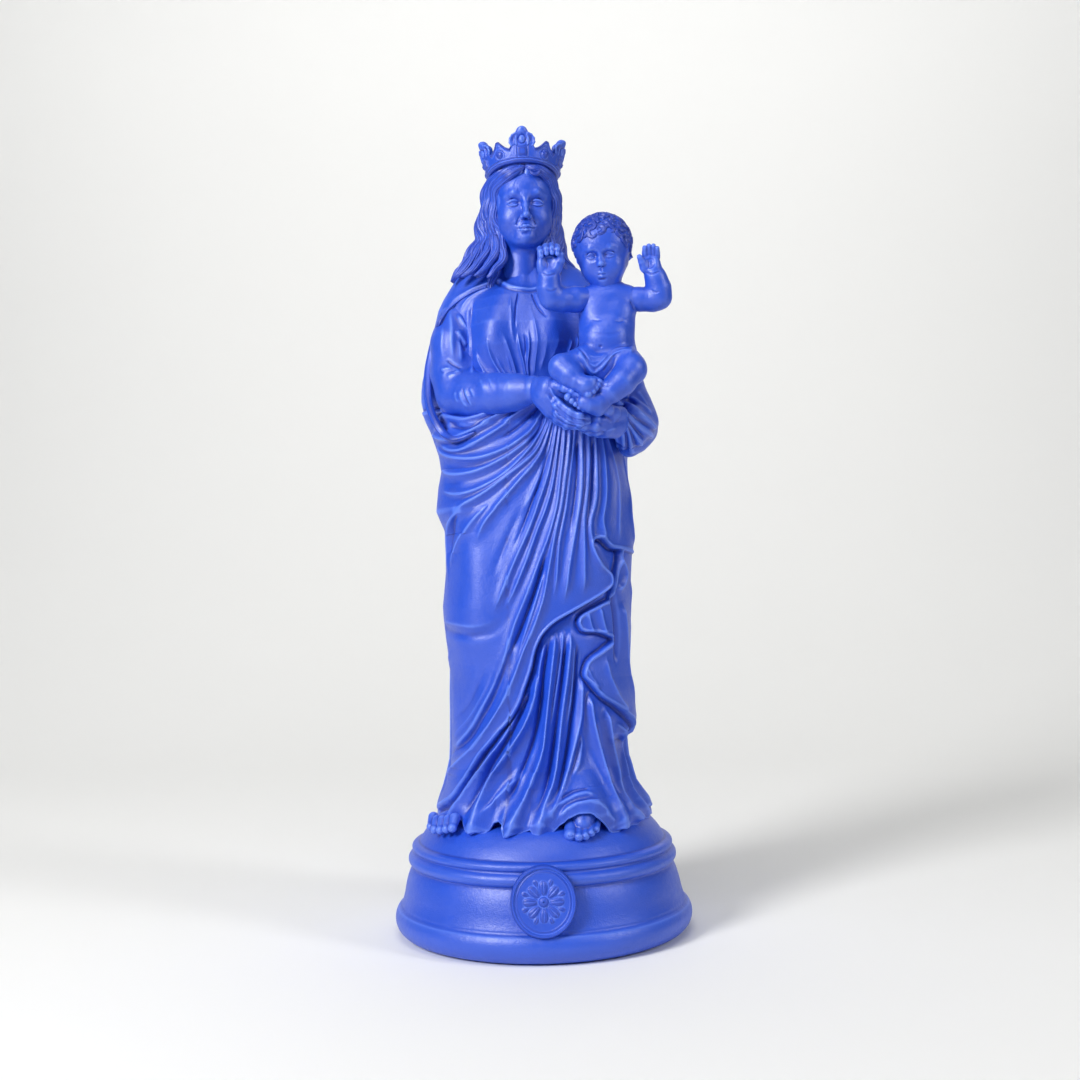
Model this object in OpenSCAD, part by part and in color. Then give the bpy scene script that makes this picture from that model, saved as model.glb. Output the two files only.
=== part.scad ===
// Crowned mother-and-child devotional statuette, cast in resin, on a round moulded plinth.
// Frame: millimetres, +Z up, -Y to the front, origin under the centre of the plinth's foot.

/* [Plinth] */
// Largest radius of the plinth, at its foot roll
plinth_r = 74.5; // [72:0.5:80]
// Height of the flat seat that the figure stands on
seat_z = 58; // [56:0.5:60]
// Wall thickness of the hollow plinth casting
plinth_wall = 6; // [5:0.5:8]
// How far the felt stands below the plinth's rim
felt_proud = 0.5; // [0.3:0.1:1]

/* [Base closing] */
// Thickness of the felt pad
felt_t = 1.5; // [1:0.1:2.5]
// Thickness of the board that closes the plinth
disc_t = 3; // [2:0.5:5]
// Radius of the felt pad and of the closing board
disc_r = 63; // [60:0.5:64]

/* [Medallion] */
// Half width of the oval medallion
medal_a = 15.1; // [12:0.1:16]
// Half height of the oval medallion
medal_b = 16.5; // [14:0.1:17]
// Thickness of the medallion's plate
medal_t = 4; // [3:0.5:5]
// Number of petals of the rosette on it
petals = 8; // [5:1:12]

/* [Figure] */
// Depth of the pleats in the gown, as a share of its radius
pleat_depth = 0.035; // [0:0.005:0.06]
// Number of pleats round the gown
pleats = 15; // [9:1:21]
// Size of the hollow core, as a share of the outline
core_share = 0.62; // [0.5:0.01:0.66]

/* [Crown] */
// Inner radius at the crown's lower edge
crown_r = 16.4; // [16.1:0.1:17.5]
// How much wider the crown is at its points
crown_flare = 2.2; // [1.5:0.1:3]
// Wall thickness of the crown
crown_wall = 1.5; // [1.2:0.1:2]
// Height of the crown's points above its lower edge
crown_h = 10.5; // [9:0.5:12]
// Number of points, every second one with a fleuron
crown_points = 10; // [6:2:12]
// Backward tilt of the crown, degrees
crown_tilt = 10; // [4:1:12]

/* [Pins] */
// Diameter of the two dowels under the figure
dowel_d = 6; // [4:0.5:7]
// Length of those dowels
dowel_len = 20; // [16:1:24]
// Diameter of the small pins in the necks and shoulders
pin_d = 2; // [1.5:0.1:2.5]
// Radial clearance of a pin in its socket
pin_gap = 0.1; // [0.05:0.05:0.2]

/* [Hidden] */
blue = [0.25, 0.34, 0.84];
eps = 0.01;
medal_z = 29.6;
medal_tilt = 8;
medal_y = -plinth_r + 4.6;
rim_z = felt_proud;                 // lowest level of the plinth's rim
disc_z = felt_t;                    // underside of the closing board
neck_at = [-3.5, -4, 326];          // foot of the mother's neck
crown_at = [-2, -0.8, 378.7];         // centre of the crown's lower edge
child_seat = [35, -42, 276];

// Outline of the draped figure: height, left, right, front, back
body_t = [
    [58, -53, 54, -51, 47], [64, -50, 51, -47, 44], [74, -47, 47, -43, 41],
    [92, -44, 43, -40, 38], [115, -44, 46, -38, 36], [145, -45, 45, -37, 35],
    [165, -45, 47, -36, 34], [195, -42, 47, -35, 33], [211, -47, 46, -34, 32],
    [236, -44, 43, -33, 30], [251, -44, 46, -32, 30], [266, -43, 43, -29, 30],
    [281, -40, 39, -27, 30], [297, -38, 36, -25, 29], [316, -34, 30, -21, 26],
    [326, -27, 22, -17, 21], [333, -16, 11, -13, 14]];

function mix(a, b, t) = a + (b - a) * t;
function span(t, z, i = 0) = i >= len(t) - 2 || z <= t[i + 1][0] ? i : span(t, z, i + 1);
function at(t, z, k) = let (i = span(t, z), s = min(1, max(0, (z - t[i][0]) / (t[i + 1][0] - t[i][0])))) mix(t[i][k], t[i + 1][k], s);
function fade(z) = min(1, max(0, (250 - z) / 120));
function outline(z, n, share) = [for (j = [0:n - 1])
    let (a = 360 * j / n,
         w = share * (1 + (share < 1 ? 0 : pleat_depth * fade(z) * cos(pleats * a + z * 0.4))))
    [abs(at(body_t, z, cos(a) < 0 ? 1 : 2)) * cos(a) * w,
     abs(at(body_t, z, sin(a) < 0 ? 3 : 4)) * sin(a) * w, z]];

// Solid between horizontal outlines at the heights zs
module loft(zs, n, share = 1) {
    m = len(zs);
    pts = [for (z = zs) each outline(z, n, share)];
    faces = concat(
        [[for (j = [0:n - 1]) j]],
        [for (i = [0:m - 2], j = [0:n - 1]) [i * n + j, (i + 1) * n + (j + 1) % n, i * n + (j + 1) % n]],
        [for (i = [0:m - 2], j = [0:n - 1]) [i * n + j, (i + 1) * n + j, (i + 1) * n + (j + 1) % n]],
        [[for (j = [n - 1:-1:0]) (m - 1) * n + j]]);
    polyhedron(pts, faces, convexity = 8);
}

// Rounded limb through a list of [point, radius]
module limb(c, n = 16) {
    for (i = [0:len(c) - 2]) hull() {
        translate(c[i][0]) sphere(c[i][1], $fn = n);
        translate(c[i + 1][0]) sphere(c[i + 1][1], $fn = n);
    }
}

module oval(a, b, h, n = 64) {
    linear_extrude(h) polygon([for (j = [0:n - 1]) [a * cos(360 * j / n), b * sin(360 * j / n)]]);
}

// Places something drawn on its back at the medallion's seat, facing forward
module at_medallion() {
    translate([0, medal_y, medal_z]) rotate([90 - medal_tilt, 0, 0]) translate([0, 0, -medal_t / 2]) children();
}

module plinth() {
    roll = [for (a = [-70:14:56]) [plinth_r - 9.2 + 9.2 * cos(a), 9.3 + 8.8 * sin(a)]];
    ring = [for (a = [-80:20:60]) [64.2 + 3 * cos(a), 38.2 + 3 * sin(a)]];
    upper = [for (a = [-60:20:80]) [63.4 + 2.2 * cos(a), 43 + 1.9 * sin(a)]];
    outside = concat([[disc_r + 2, rim_z], [plinth_r - 6.5, rim_z]], roll,
        [[70, 18], [69.2, 23], [68, 28], [66.6, 32.5], [65, 35]], ring, upper,
        [[61, 46], [59.4, 48.6], [57.5, 52], [55.4, 55.4], [53.4, 57.3], [51, seat_z]]);
    w = plinth_wall;
    inside = [[15, seat_z], [15, seat_z - w], [46, seat_z - w - 1], [54, 46 - w], [59, 38 - w], [60, 20],
              [60, disc_z + disc_t + eps], [disc_r + 0.2, disc_z + disc_t], [disc_r + 0.2, rim_z]];
    color(blue) difference() {
        rotate_extrude($fn = 96) polygon(concat(outside, inside));
        for (s = [-1, 1]) translate([45 * s, 0, seat_z - 10]) cylinder(d = dowel_d + 2 * pin_gap, h = 20, $fn = 32);
        at_medallion() oval(medal_a + 0.1, medal_b + 0.1, 20);
    }
}

module closing_disc() {
    color("saddlebrown") translate([0, 0, disc_z]) cylinder(r = disc_r, h = disc_t, $fn = 96);
}

module felt_pad() {
    color([0.13, 0.14, 0.18]) cylinder(r = disc_r - 1, h = felt_t, $fn = 96);
}

module medallion() {
    color(blue) at_medallion() {
        oval(medal_a, medal_b, medal_t);
        translate([0, 0, medal_t - 0.5]) difference() {
            oval(medal_a - eps, medal_b - eps, 1.4);
            translate([0, 0, -1]) oval(medal_a - 1.4, medal_b - 1.4, 4);
        }
        translate([0, 0, medal_t - 0.5]) cylinder(r = 2.6, h = 1.8, $fn = 32);
        for (i = [0:petals - 1]) rotate(360 * i / petals) translate([6.4, 0, medal_t - 0.5]) cylinder(r = 2.1, h = 1.4, $fn = 24);
    }
}

module figure_dowels() {
    color("silver") for (s = [-1, 1]) translate([45 * s, 0, seat_z - 10 + 0.2]) {
        cylinder(d = dowel_d, h = dowel_len - 1, $fn = 32);
        translate([0, 0, dowel_len - 1]) cylinder(d1 = dowel_d, d2 = dowel_d - 1.6, h = 0.8, $fn = 32);
    }
}

// Right arm in its sleeve, from the shoulder to the wrist
module right_sleeve() {
    limb([[[-33, 2, 314], 11], [[-43, -3, 290], 11.5], [[-41, -10, 269], 10.5],
          [[-24, -27, 267], 9.6], [[-4, -43, 267.5], 6.4]]);
}

// Left arm wrapped in the mantle, under the child
module left_sleeve() {
    limb([[[30, 2, 312], 10], [[45, -2, 285], 11], [[53, -10, 258], 9], [[42, -26, 253], 9.5], [[34, -38, 255], 7]]);
    limb([[[53, -8, 256], 8.5], [[50, -5, 246], 8]]);
}

// The feet under the hem
module feet() {
    limb([[[-40, -24, 63], 5], [[-50, -29, 60.6], 3.6]]);
    limb([[[22, -42, 63], 5.5], [[21, -50.5, 60.4], 3.8]]);
}

// Depth of the outline's front at a given width and height
function front_y(x, z) = -abs(at(body_t, z, 3)) * sqrt(max(0, 1 - pow(x / at(body_t, z, x < 0 ? 1 : 2), 2)));

// A rolled hem or a fold lying on the front of the figure, through [x, z, radius, outset]
module fold(c) {
    limb([for (p = c) [[p[0], front_y(p[0], p[1]) + 0.6 - (len(p) > 3 ? p[3] : 0), p[1]], p[2]]], 10);
}

// The mantle's front edge, its zigzag fall at the left hip and the swags under the right arm
module mantle() {
    fold([[35, 176, 2.4], [27, 167, 2.6], [18, 161, 2.6], [7, 154, 2.6], [2, 149, 2.4], [-3, 135, 2.2], [-10.5, 114, 2.2],
          [-18, 104, 2.2], [-26, 94, 2.2], [-35, 80, 2.2], [-46, 68, 2]]);
    fold([[18, 157, 2.2], [34, 146, 2.6], [21, 131, 2.6], [35, 115, 2.6], [44, 100, 2.2]]);
    fold([[42, 170, 3], [43, 130, 2.6], [44.5, 102, 2.2]]);
    fold([[-1, 262, 3, 5], [-20, 253, 3], [-38, 254, 2.6]]);
    fold([[2, 260, 3, 6], [-20, 239, 3, 1], [-40, 244, 2.4]]);
    fold([[4, 257, 3, 6], [-14, 226, 3, 1], [-37, 228, 2.2]]);
    fold([[8, 254, 3, 6], [-6, 213, 3, 1], [-33, 190, 2.2]]);
    fold([[12, 250, 3, 5], [6, 208, 3, 1], [-16, 168, 2.6], [-30, 140, 2]]);
    fold([[18, 246, 3, 3], [17, 205, 3, 1], [4, 165, 2.6]]);
    fold([[27, 242, 3, 1], [29, 205, 2.8], [30, 176, 2.4]]);
    fold([[37, 240, 3], [39, 200, 2.6], [40, 176, 2.4]]);
    fold([[-10, 322, 2], [-6, 300, 2.2, 0.5], [-4, 272, 2, 2]]);
    fold([[-3, 322, 1.8], [0, 300, 2, 0.5], [2, 276, 2, 2]]);
}

module mother_solid() {
    loft([58, 61, 64, 69, 74, 83, 92, 103, 115, 130, 145, 155, 165, 180, 195, 203, 211, 223, 236, 243, 251, 258, 266,
          273, 281, 289, 297, 306, 316, 321, 326, 330, 333], 72);
    right_sleeve();
    left_sleeve();
    feet();
    mantle();
}

module neck_spigot(grow = 0) {
    translate(neck_at - [0, 0, 7]) cylinder(r = 7 + grow, h = 16, $fn = 32);
}

module pin_hole(a, b, r) {
    hull() { translate(a) sphere(r, $fn = 12); translate(b) sphere(r, $fn = 12); }
}

module pin_line(p, dir, len, r) {
    translate(p) rotate(dir) translate([0, 0, -len / 2]) cylinder(r = r, h = len, $fn = 24);
}

module neck_pin_shape(r) { translate(neck_at - [0, 0, 16]) cylinder(r = r, h = 24, $fn = 24); }
module child_seat_pin(r) { pin_line([33, -33, 268], [60, 0, 0], 20, r); }
module child_neck_pin(r) { translate([36, -42, 307]) cylinder(r = r, h = 16, $fn = 24); }
module right_shoulder_pin(r) { pin_line([24.4, -42, 308], [0, 90, 0], 10, r); }
module left_shoulder_pin(r) { pin_line([48.6, -42, 308], [0, 90, 0], 10, r); }

module mother_body() {
    color(blue) difference() {
        mother_solid();
        loft([57, 64, 74, 92, 115, 145, 165, 195, 211, 232], 36, core_share);
        for (s = [-1, 1]) translate([45 * s, 0, 50]) cylinder(d = dowel_d + 2 * pin_gap, h = 19, $fn = 32);
        neck_spigot(0.1);
        neck_pin_shape(pin_d / 2 + pin_gap);
        child_seat_pin(pin_d / 2 + pin_gap + 0.1);
    }
}

module right_hand_shape() {
    limb([[[-4, -43, 267.5], 5], [[4, -52, 265.5], 5.6], [[12, -58, 261.5], 4.8], [[20, -60.5, 257.5], 3.2], [[27, -60, 255], 2.2]], 14);
    limb([[[10, -57, 257.5], 4.2], [[20, -59, 253.5], 3], [[28, -57.5, 251.5], 2.2]], 14);
    limb([[[6, -53, 267.5], 3.6], [[17, -58, 264], 2.4]], 14);
}

module right_hand() {
    color(blue) difference() { right_hand_shape(); mother_solid(); }
}

module left_hand_shape() {
    limb([[[40, -36, 255.5], 5.5], [[33, -46, 254], 5.8], [[25, -51, 252.5], 4.4], [[16, -53.5, 251.5], 2.8]], 14);
    limb([[[35, -46, 250], 4.6], [[24, -50, 247.5], 3.2], [[15, -51.5, 248], 2.4]], 14);
    limb([[[36, -48, 257], 3.6], [[31, -54.5, 261], 2.4]], 14);
    limb([[[44, -30, 254], 4], [[40, -36, 254], 4]], 14);
}

module left_hand() {
    color(blue) difference() { left_hand_shape(); mother_solid(); right_hand_shape(); }
}

module mother_head() {
    color(blue) difference() {
        union() {
            neck_spigot();
            limb([[[-3.5, -4, 328], 8], [[-3.5, -5, 340], 8]], 24);
            hull() {
                translate([-2.2, -7.5, 360]) sphere(12.4, $fn = 28);
                translate([-2.2, -11.5, 348]) sphere(7.6, $fn = 28);
                translate([-2.2, -4.5, 367]) sphere(13.6, $fn = 28);
            }
            hull() {
                at_crown() translate([0, 0, -6]) cylinder(r = crown_r + 1.2, h = 8, $fn = 40);
                translate([-2.6, 1, 362]) sphere(18.2, $fn = 28);
                translate([-3, 4, 347]) sphere(15.5, $fn = 28);
            }
            at_crown() translate([0, 0, -6]) sphere(13, $fn = 28);
            limb([[[-19.5, 0, 366], 3.0], [[-22, 0, 350], 4.2], [[-26, 1, 340], 4.8], [[-30.5, 1, 331], 4.8]]);
            limb([[[15, 0, 366], 3.0], [[17.5, 0, 350], 3.8], [[17.5, 0, 338], 3.8]]);
            hull() {
                translate([-3, 8, 347]) sphere(14, $fn = 24);
                translate([-8, 15, 306]) sphere(13, $fn = 24);
                translate([3, 15, 306]) sphere(13, $fn = 24);
            }
        }
        mother_solid();
        neck_pin_shape(pin_d / 2 + pin_gap);
        crown_keepout();
        child_arms_keepout();
    }
}

module neck_pin() {
    color("silver") translate(neck_at - [0, 0, 15.8]) cylinder(d = pin_d, h = 23.4, $fn = 24);
}

module at_crown() { translate(crown_at) rotate([-crown_tilt, 0, 0]) children(); }

// The ring of space that the crown fills, with a little room
module crown_keepout() {
    at_crown() difference() {
        translate([0, 0, -0.1]) cylinder(r = crown_r + 20, h = 40, $fn = 64);
        translate([0, 0, -1]) cylinder(r = crown_r - 0.1, h = 42, $fn = 64);
    }
}

module crown() {
    t = crown_wall;
    color(blue) at_crown() {
        difference() {
            cylinder(r1 = crown_r + t, r2 = crown_r + t + crown_flare, h = crown_h, $fn = 96);
            translate([0, 0, -0.1]) cylinder(r1 = crown_r, r2 = crown_r + crown_flare, h = crown_h + 0.2, $fn = 96);
            for (i = [0:crown_points - 1]) rotate(360 * (i + 0.5) / crown_points - 90)
                translate([crown_r - 0.4, 0, crown_h + 1.4]) rotate([0, 90, 0]) cylinder(r = 3.05 * crown_r / crown_points, h = 12, $fn = 32);
        }
        // fleurons above every second point: a broad boss with a smaller one on top
        for (i = [0:2:crown_points - 1]) rotate(360 * i / crown_points)
            translate([0, -crown_r - crown_flare - t + 0.3, crown_h]) rotate([-78, 0, 0]) translate([0, 0, -0.9]) {
                cylinder(r = 3.8, h = 1.8, $fn = 32);
                translate([0, -4.2, 0]) cylinder(r = 2.6, h = 1.8, $fn = 24);
            }
        // jewels on the band
        for (i = [0:crown_points - 1]) rotate(360 * i / crown_points - 90)
            translate([crown_r + t + 0.9, 0, 5.2]) rotate([0, 78, 0]) cylinder(r = 1.6, h = 0.9, $fn = 24);
    }
}

module child_body_shape() {
    hull() {
        translate([36, -42, 306]) scale([1, 0.72, 0.6]) sphere(13, $fn = 28);
        translate([36, -43, 290]) scale([1, 0.85, 1]) sphere(13, $fn = 28);
    }
    hull() {
        translate([36, -43, 290]) scale([1, 0.85, 1]) sphere(13, $fn = 28);
        translate([35, -42, 279]) sphere(13, $fn = 28);
    }
    limb([[[36, -42, 308], 5.2], [[36, -42, 313], 5.2]]);
    limb([[[31, -46, 277], 8], [[17, -53, 277], 7], [[27, -58, 268], 4.6], [[33, -60, 266], 3.4], [[36, -63, 270], 2.4]]);
    limb([[[40, -46, 277], 8.4], [[48, -51, 276], 7.6], [[36, -58, 266], 5], [[29, -61, 262], 3.6], [[22, -63.5, 259], 2.6]]);
}

module child_body() {
    color(blue) difference() {
        child_body_shape();
        mother_solid();
        right_hand_shape();
        left_hand_shape();
        child_neck_pin(pin_d / 2 + pin_gap);
        right_shoulder_pin(pin_d / 2 + pin_gap);
        left_shoulder_pin(pin_d / 2 + pin_gap);
        child_seat_pin(pin_d / 2 + pin_gap + 0.1);
    }
}

module child_head() {
    color(blue) difference() {
        union() {
            hull() {
                translate([34, -41, 337]) sphere(14.6, $fn = 28);
                translate([34.5, -47, 324]) sphere(8, $fn = 28);
                translate([34, -37, 333]) sphere(13, $fn = 28);
            }
            limb([[[36, -42, 315], 5.2], [[35.4, -42, 322], 6]]);
            for (i = [0:6]) hull() {
                translate([34 + 9 * cos(30 * i - 90) , -50 + 1.5 * i, 345 + 3 * sin(60 * i)]) sphere(2.4, $fn = 12);
                translate([34 + 5 * cos(30 * i - 90), -49 + 1.5 * i, 348]) sphere(2, $fn = 12);
            }
        }
        child_body_shape();
        child_neck_pin(pin_d / 2 + pin_gap);
    }
}

module right_arm_chain() {
    limb([[[27, -42, 308], 5.4], [[18, -45, 307], 5.2], [[11.5, -48, 308], 5], [[8.6, -49, 315], 4.2], [[8.2, -49, 321], 3.4], [[7.5, -49, 329], 4.2]]);
    for (i = [0:3]) hull() {
        translate([4.6 + 2.1 * i, -49, 329]) sphere(1.4, $fn = 12);
        translate([4.2 + 2.3 * i, -50, 334.5]) sphere(1.2, $fn = 12);
    }
}

module left_arm_chain() {
    limb([[[46, -42, 308], 5.4], [[58, -43, 306.5], 5.2], [[62.5, -44, 307.5], 4.8], [[60.5, -45, 315], 4], [[57.5, -45, 322], 3.2], [[56, -45, 328], 3.8]]);
    for (i = [0:3]) hull() {
        translate([53.8 + 1.7 * i, -45, 329]) sphere(1.4, $fn = 12);
        translate([54 + 1.6 * i, -46, 335]) sphere(1.2, $fn = 12);
    }
}

module child_arms_keepout() { right_arm_chain(); }

module child_right_arm() {
    color(blue) difference() { right_arm_chain(); child_body_shape(); right_shoulder_pin(pin_d / 2 + pin_gap); }
}

module child_left_arm() {
    color(blue) difference() { left_arm_chain(); child_body_shape(); left_shoulder_pin(pin_d / 2 + pin_gap); }
}

module child_pins() {
    color("silver") {
        child_seat_pin_solid();
        translate([0, 0, 0.2]) translate([36, -42, 307]) cylinder(d = pin_d, h = 15.6, $fn = 24);
        pin_line([24.4, -42, 308], [0, 90, 0], 9.6, pin_d / 2);
        pin_line([48.6, -42, 308], [0, 90, 0], 9.6, pin_d / 2);
    }
}
module child_seat_pin_solid() { pin_line([33, -33, 268], [60, 0, 0], 19.6, pin_d / 2); }

plinth();
closing_disc();
felt_pad();
medallion();
figure_dowels();
mother_body();
right_hand();
left_hand();
mother_head();
neck_pin();
crown();
child_body();
child_head();
child_right_arm();
child_left_arm();
child_pins();
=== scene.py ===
"""The looks of the crowned mother-and-child statuette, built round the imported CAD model.

Sculpted forms are made as meshes from numbers here: lathed and gridded shells whose surface is
raised and sunk along fold lines, and rounded solids blended in a distance field. Lengths in this
file are millimetres, and meshes are scaled to metres when they are made.
"""
import math
import bpy
import numpy as np
from mathutils import Matrix, Vector


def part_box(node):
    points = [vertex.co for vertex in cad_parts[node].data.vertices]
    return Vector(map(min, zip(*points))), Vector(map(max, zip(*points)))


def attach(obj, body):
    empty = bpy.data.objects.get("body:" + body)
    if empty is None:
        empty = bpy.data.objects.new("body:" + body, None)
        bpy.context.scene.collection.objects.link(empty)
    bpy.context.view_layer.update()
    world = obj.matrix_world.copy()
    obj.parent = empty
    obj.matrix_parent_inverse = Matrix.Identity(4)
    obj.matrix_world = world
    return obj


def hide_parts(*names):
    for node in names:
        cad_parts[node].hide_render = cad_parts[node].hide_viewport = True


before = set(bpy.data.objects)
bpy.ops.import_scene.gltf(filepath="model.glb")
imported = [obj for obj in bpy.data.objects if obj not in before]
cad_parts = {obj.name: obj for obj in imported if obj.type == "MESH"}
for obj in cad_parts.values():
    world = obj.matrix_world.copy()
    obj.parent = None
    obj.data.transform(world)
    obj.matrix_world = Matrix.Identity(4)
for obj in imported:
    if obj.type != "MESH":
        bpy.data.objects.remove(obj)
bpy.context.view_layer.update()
MM = 0.001
RNG = np.random.default_rng(11)
COARSE = 1.0

# ---------------------------------------------------------------- camera
CX, CY, FOC, DIST, EYE_Z, ROLL = 535.2, 540.0, 1506.0, 760.0, 195.4, math.radians(1.325)
cam_data = bpy.data.cameras.new("camera")
cam = bpy.data.objects.new("camera", cam_data)
bpy.context.scene.collection.objects.link(cam)
cam_data.sensor_width = 36.0
cam_data.sensor_fit = "HORIZONTAL"
cam_data.lens = FOC / 1080.0 * 36.0
cam_data.shift_x = (540.0 - CX) / 1080.0
cam_data.clip_start = 0.02
cam.matrix_world = Matrix.Translation((0, -DIST * MM, EYE_Z * MM)) @ Matrix.Rotation(math.radians(90), 4, "X") @ Matrix.Rotation(-ROLL, 4, "Z")
bpy.context.scene.camera = cam


def at_view(px, py, y):
    """(x, z) in mm of the point seen at px, py of a 1080 frame, when it lies at depth y."""
    px, py = np.asarray(px, float), np.asarray(py, float)
    dx, dy = px - CX, py - CY
    c, s = math.cos(ROLL), math.sin(ROLL)
    k = (DIST + np.asarray(y, float)) / FOC
    return (dx * c - dy * s) * k, EYE_Z - (dx * s + dy * c) * k


def to_view(v):
    """Frame coordinates (1080 wide) of points in mm."""
    x, y, z = v[:, 0], v[:, 1], v[:, 2]
    u = FOC * x / (DIST + y)
    w = FOC * (EYE_Z - z) / (DIST + y)
    c, s = math.cos(ROLL), math.sin(ROLL)
    return CX + u * c + w * s, CY - u * s + w * c


def P(px, py, y):
    x, z = at_view(px, py, y)
    return np.array([float(x), float(y), float(z)])


# ---------------------------------------------------------------- meshes
def relief_value(v, faces):
    """How far each vertex stands out of (+) or lies below (-) the smoothed surface, in mm, at two scales."""
    i = np.concatenate([np.concatenate([f[:, k], f[:, (k + 1) % f.shape[1]]]) for f in faces for k in range(f.shape[1])])
    j = np.concatenate([np.concatenate([f[:, (k + 1) % f.shape[1]], f[:, k]]) for f in faces for k in range(f.shape[1])])
    n = len(v)
    cnt = np.maximum(np.bincount(i, minlength=n), 1)
    edge = float(np.mean(np.linalg.norm(v[i[::7]] - v[j[::7]], axis=1)))
    nrm = np.zeros((n, 3))
    for f in faces:
        c = np.cross(v[f[:, 2]] - v[f[:, 0]], v[f[:, -1]] - v[f[:, 1]]) if f.shape[1] == 4 else np.cross(v[f[:, 1]] - v[f[:, 0]], v[f[:, 2]] - v[f[:, 0]])
        for k in range(f.shape[1]):
            for q in range(3):
                nrm[:, q] += np.bincount(f[:, k], weights=c[:, q], minlength=n)
    nrm /= np.maximum(np.linalg.norm(nrm, axis=1, keepdims=True), 1e-12)
    p = v.astype(float).copy()
    out = np.zeros(n)
    done = 0
    for scale, gain in ((0.9, 1.0), (2.2, 0.45)):
        steps = int(min(26, max(3, (scale / edge) ** 2 * 2.0)))
        while done < steps:
            m = np.stack([np.bincount(i, weights=p[j, q], minlength=n) for q in range(3)], 1) / cnt[:, None]
            p = 0.4 * p + 0.6 * m
            done += 1
        out += gain * np.sum((v - p) * nrm, axis=1)
    return out


def mesh_obj(name, verts, faces, mat, replaces=(), smooth=True):
    """faces is a list of integer arrays, each of one face size."""
    if not isinstance(faces, (list, tuple)):
        faces = [faces]
    me = bpy.data.meshes.new(name)
    me.vertices.add(len(verts))
    me.vertices.foreach_set("co", (np.asarray(verts, float) * MM).astype(np.float32).ravel())
    loops = np.concatenate([f.ravel() for f in faces]).astype(np.int32)
    sizes = np.concatenate([np.full(len(f), f.shape[1]) for f in faces])
    me.loops.add(len(loops))
    me.loops.foreach_set("vertex_index", loops)
    me.polygons.add(len(sizes))
    me.polygons.foreach_set("loop_start", np.concatenate([[0], np.cumsum(sizes)[:-1]]).astype(np.int32))
    me.update(calc_edges=True)
    me.validate()
    # relief per vertex: the blue material reads it to paint shade in the hollows and a highlight on the crests
    if len(me.vertices) == len(verts):
        at = me.attributes.new("relief", "FLOAT", "POINT")
        at.data.foreach_set("value", relief_value(np.asarray(verts, float), faces).astype(np.float32))
    if smooth:
        me.shade_smooth()
    o = bpy.data.objects.new(name, me)
    bpy.context.scene.collection.objects.link(o)
    me.materials.append(mat)
    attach(o, "root")
    if replaces:
        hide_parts(*replaces)
    return o


def grid_faces(nr, nc, wrap=True):
    """Quads of an nr by nc vertex grid, closed along its columns if wrap."""
    i = np.arange(nr - 1)[:, None]
    j = np.arange(nc if wrap else nc - 1)[None, :]
    jn = (j + 1) % nc
    a, b = i * nc + j, i * nc + jn
    c, d = (i + 1) * nc + jn, (i + 1) * nc + j
    return np.stack([a + 0 * b, b + 0 * a, c, d], -1).reshape(-1, 4)


def vertex_normals(v, quads):
    """Unit normals at v from its quads or triangles."""
    n = np.zeros_like(v)
    k = quads.shape[1]
    fn = np.cross(v[quads[:, 2]] - v[quads[:, 0]], v[quads[:, k - 1]] - v[quads[:, 1]])
    for i in range(k):
        for a in range(3):
            n[:, a] += np.bincount(quads[:, i], fn[:, a], len(v))
    return n / np.maximum(np.linalg.norm(n, axis=1, keepdims=True), 1e-9)


def relax(v, quads, times, amount=0.5):
    """Moves each vertex part of the way to the mean of its neighbours."""
    k = quads.shape[1]
    a = quads.ravel()
    b = np.roll(quads, -1, 1).ravel()
    i, j = np.concatenate([a, b]), np.concatenate([b, a])
    cnt = np.maximum(np.bincount(i, minlength=len(v)), 1)[:, None]
    for _ in range(times):
        m = np.stack([np.bincount(i, v[j, c], len(v)) for c in range(3)], 1) / cnt
        v = v + (m - v) * amount
    return v


def sm(a, b, x):
    """Smooth step of x from a to b."""
    t = np.clip((x - a) / (b - a), 0, 1)
    return t * t * (3 - 2 * t)


def spline(pts, step):
    """Catmull-Rom curve through rows of pts, with a point about every step of its first two or three columns."""
    p = np.asarray(pts, float)
    if len(p) == 2:
        n = max(2, int(np.linalg.norm(p[1, :2] - p[0, :2]) / step) + 1)
        return p[0] + (p[1] - p[0]) * np.linspace(0, 1, n)[:, None]
    q = np.vstack([2 * p[0] - p[1], p, 2 * p[-1] - p[-2]])
    out = []
    for i in range(1, len(q) - 2):
        n = max(2, int(np.linalg.norm((q[i + 1] - q[i])[:3]) / step) + 1)
        t = np.linspace(0, 1, n, endpoint=False)[:, None]
        a, b, c, d = q[i - 1], q[i], q[i + 1], q[i + 2]
        out.append(0.5 * (2 * b + (c - a) * t + (2 * a - 5 * b + 4 * c - d) * t ** 2 + (3 * b - a - 3 * c + d) * t ** 3))
    return np.vstack(out + [p[-1:]])


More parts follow.
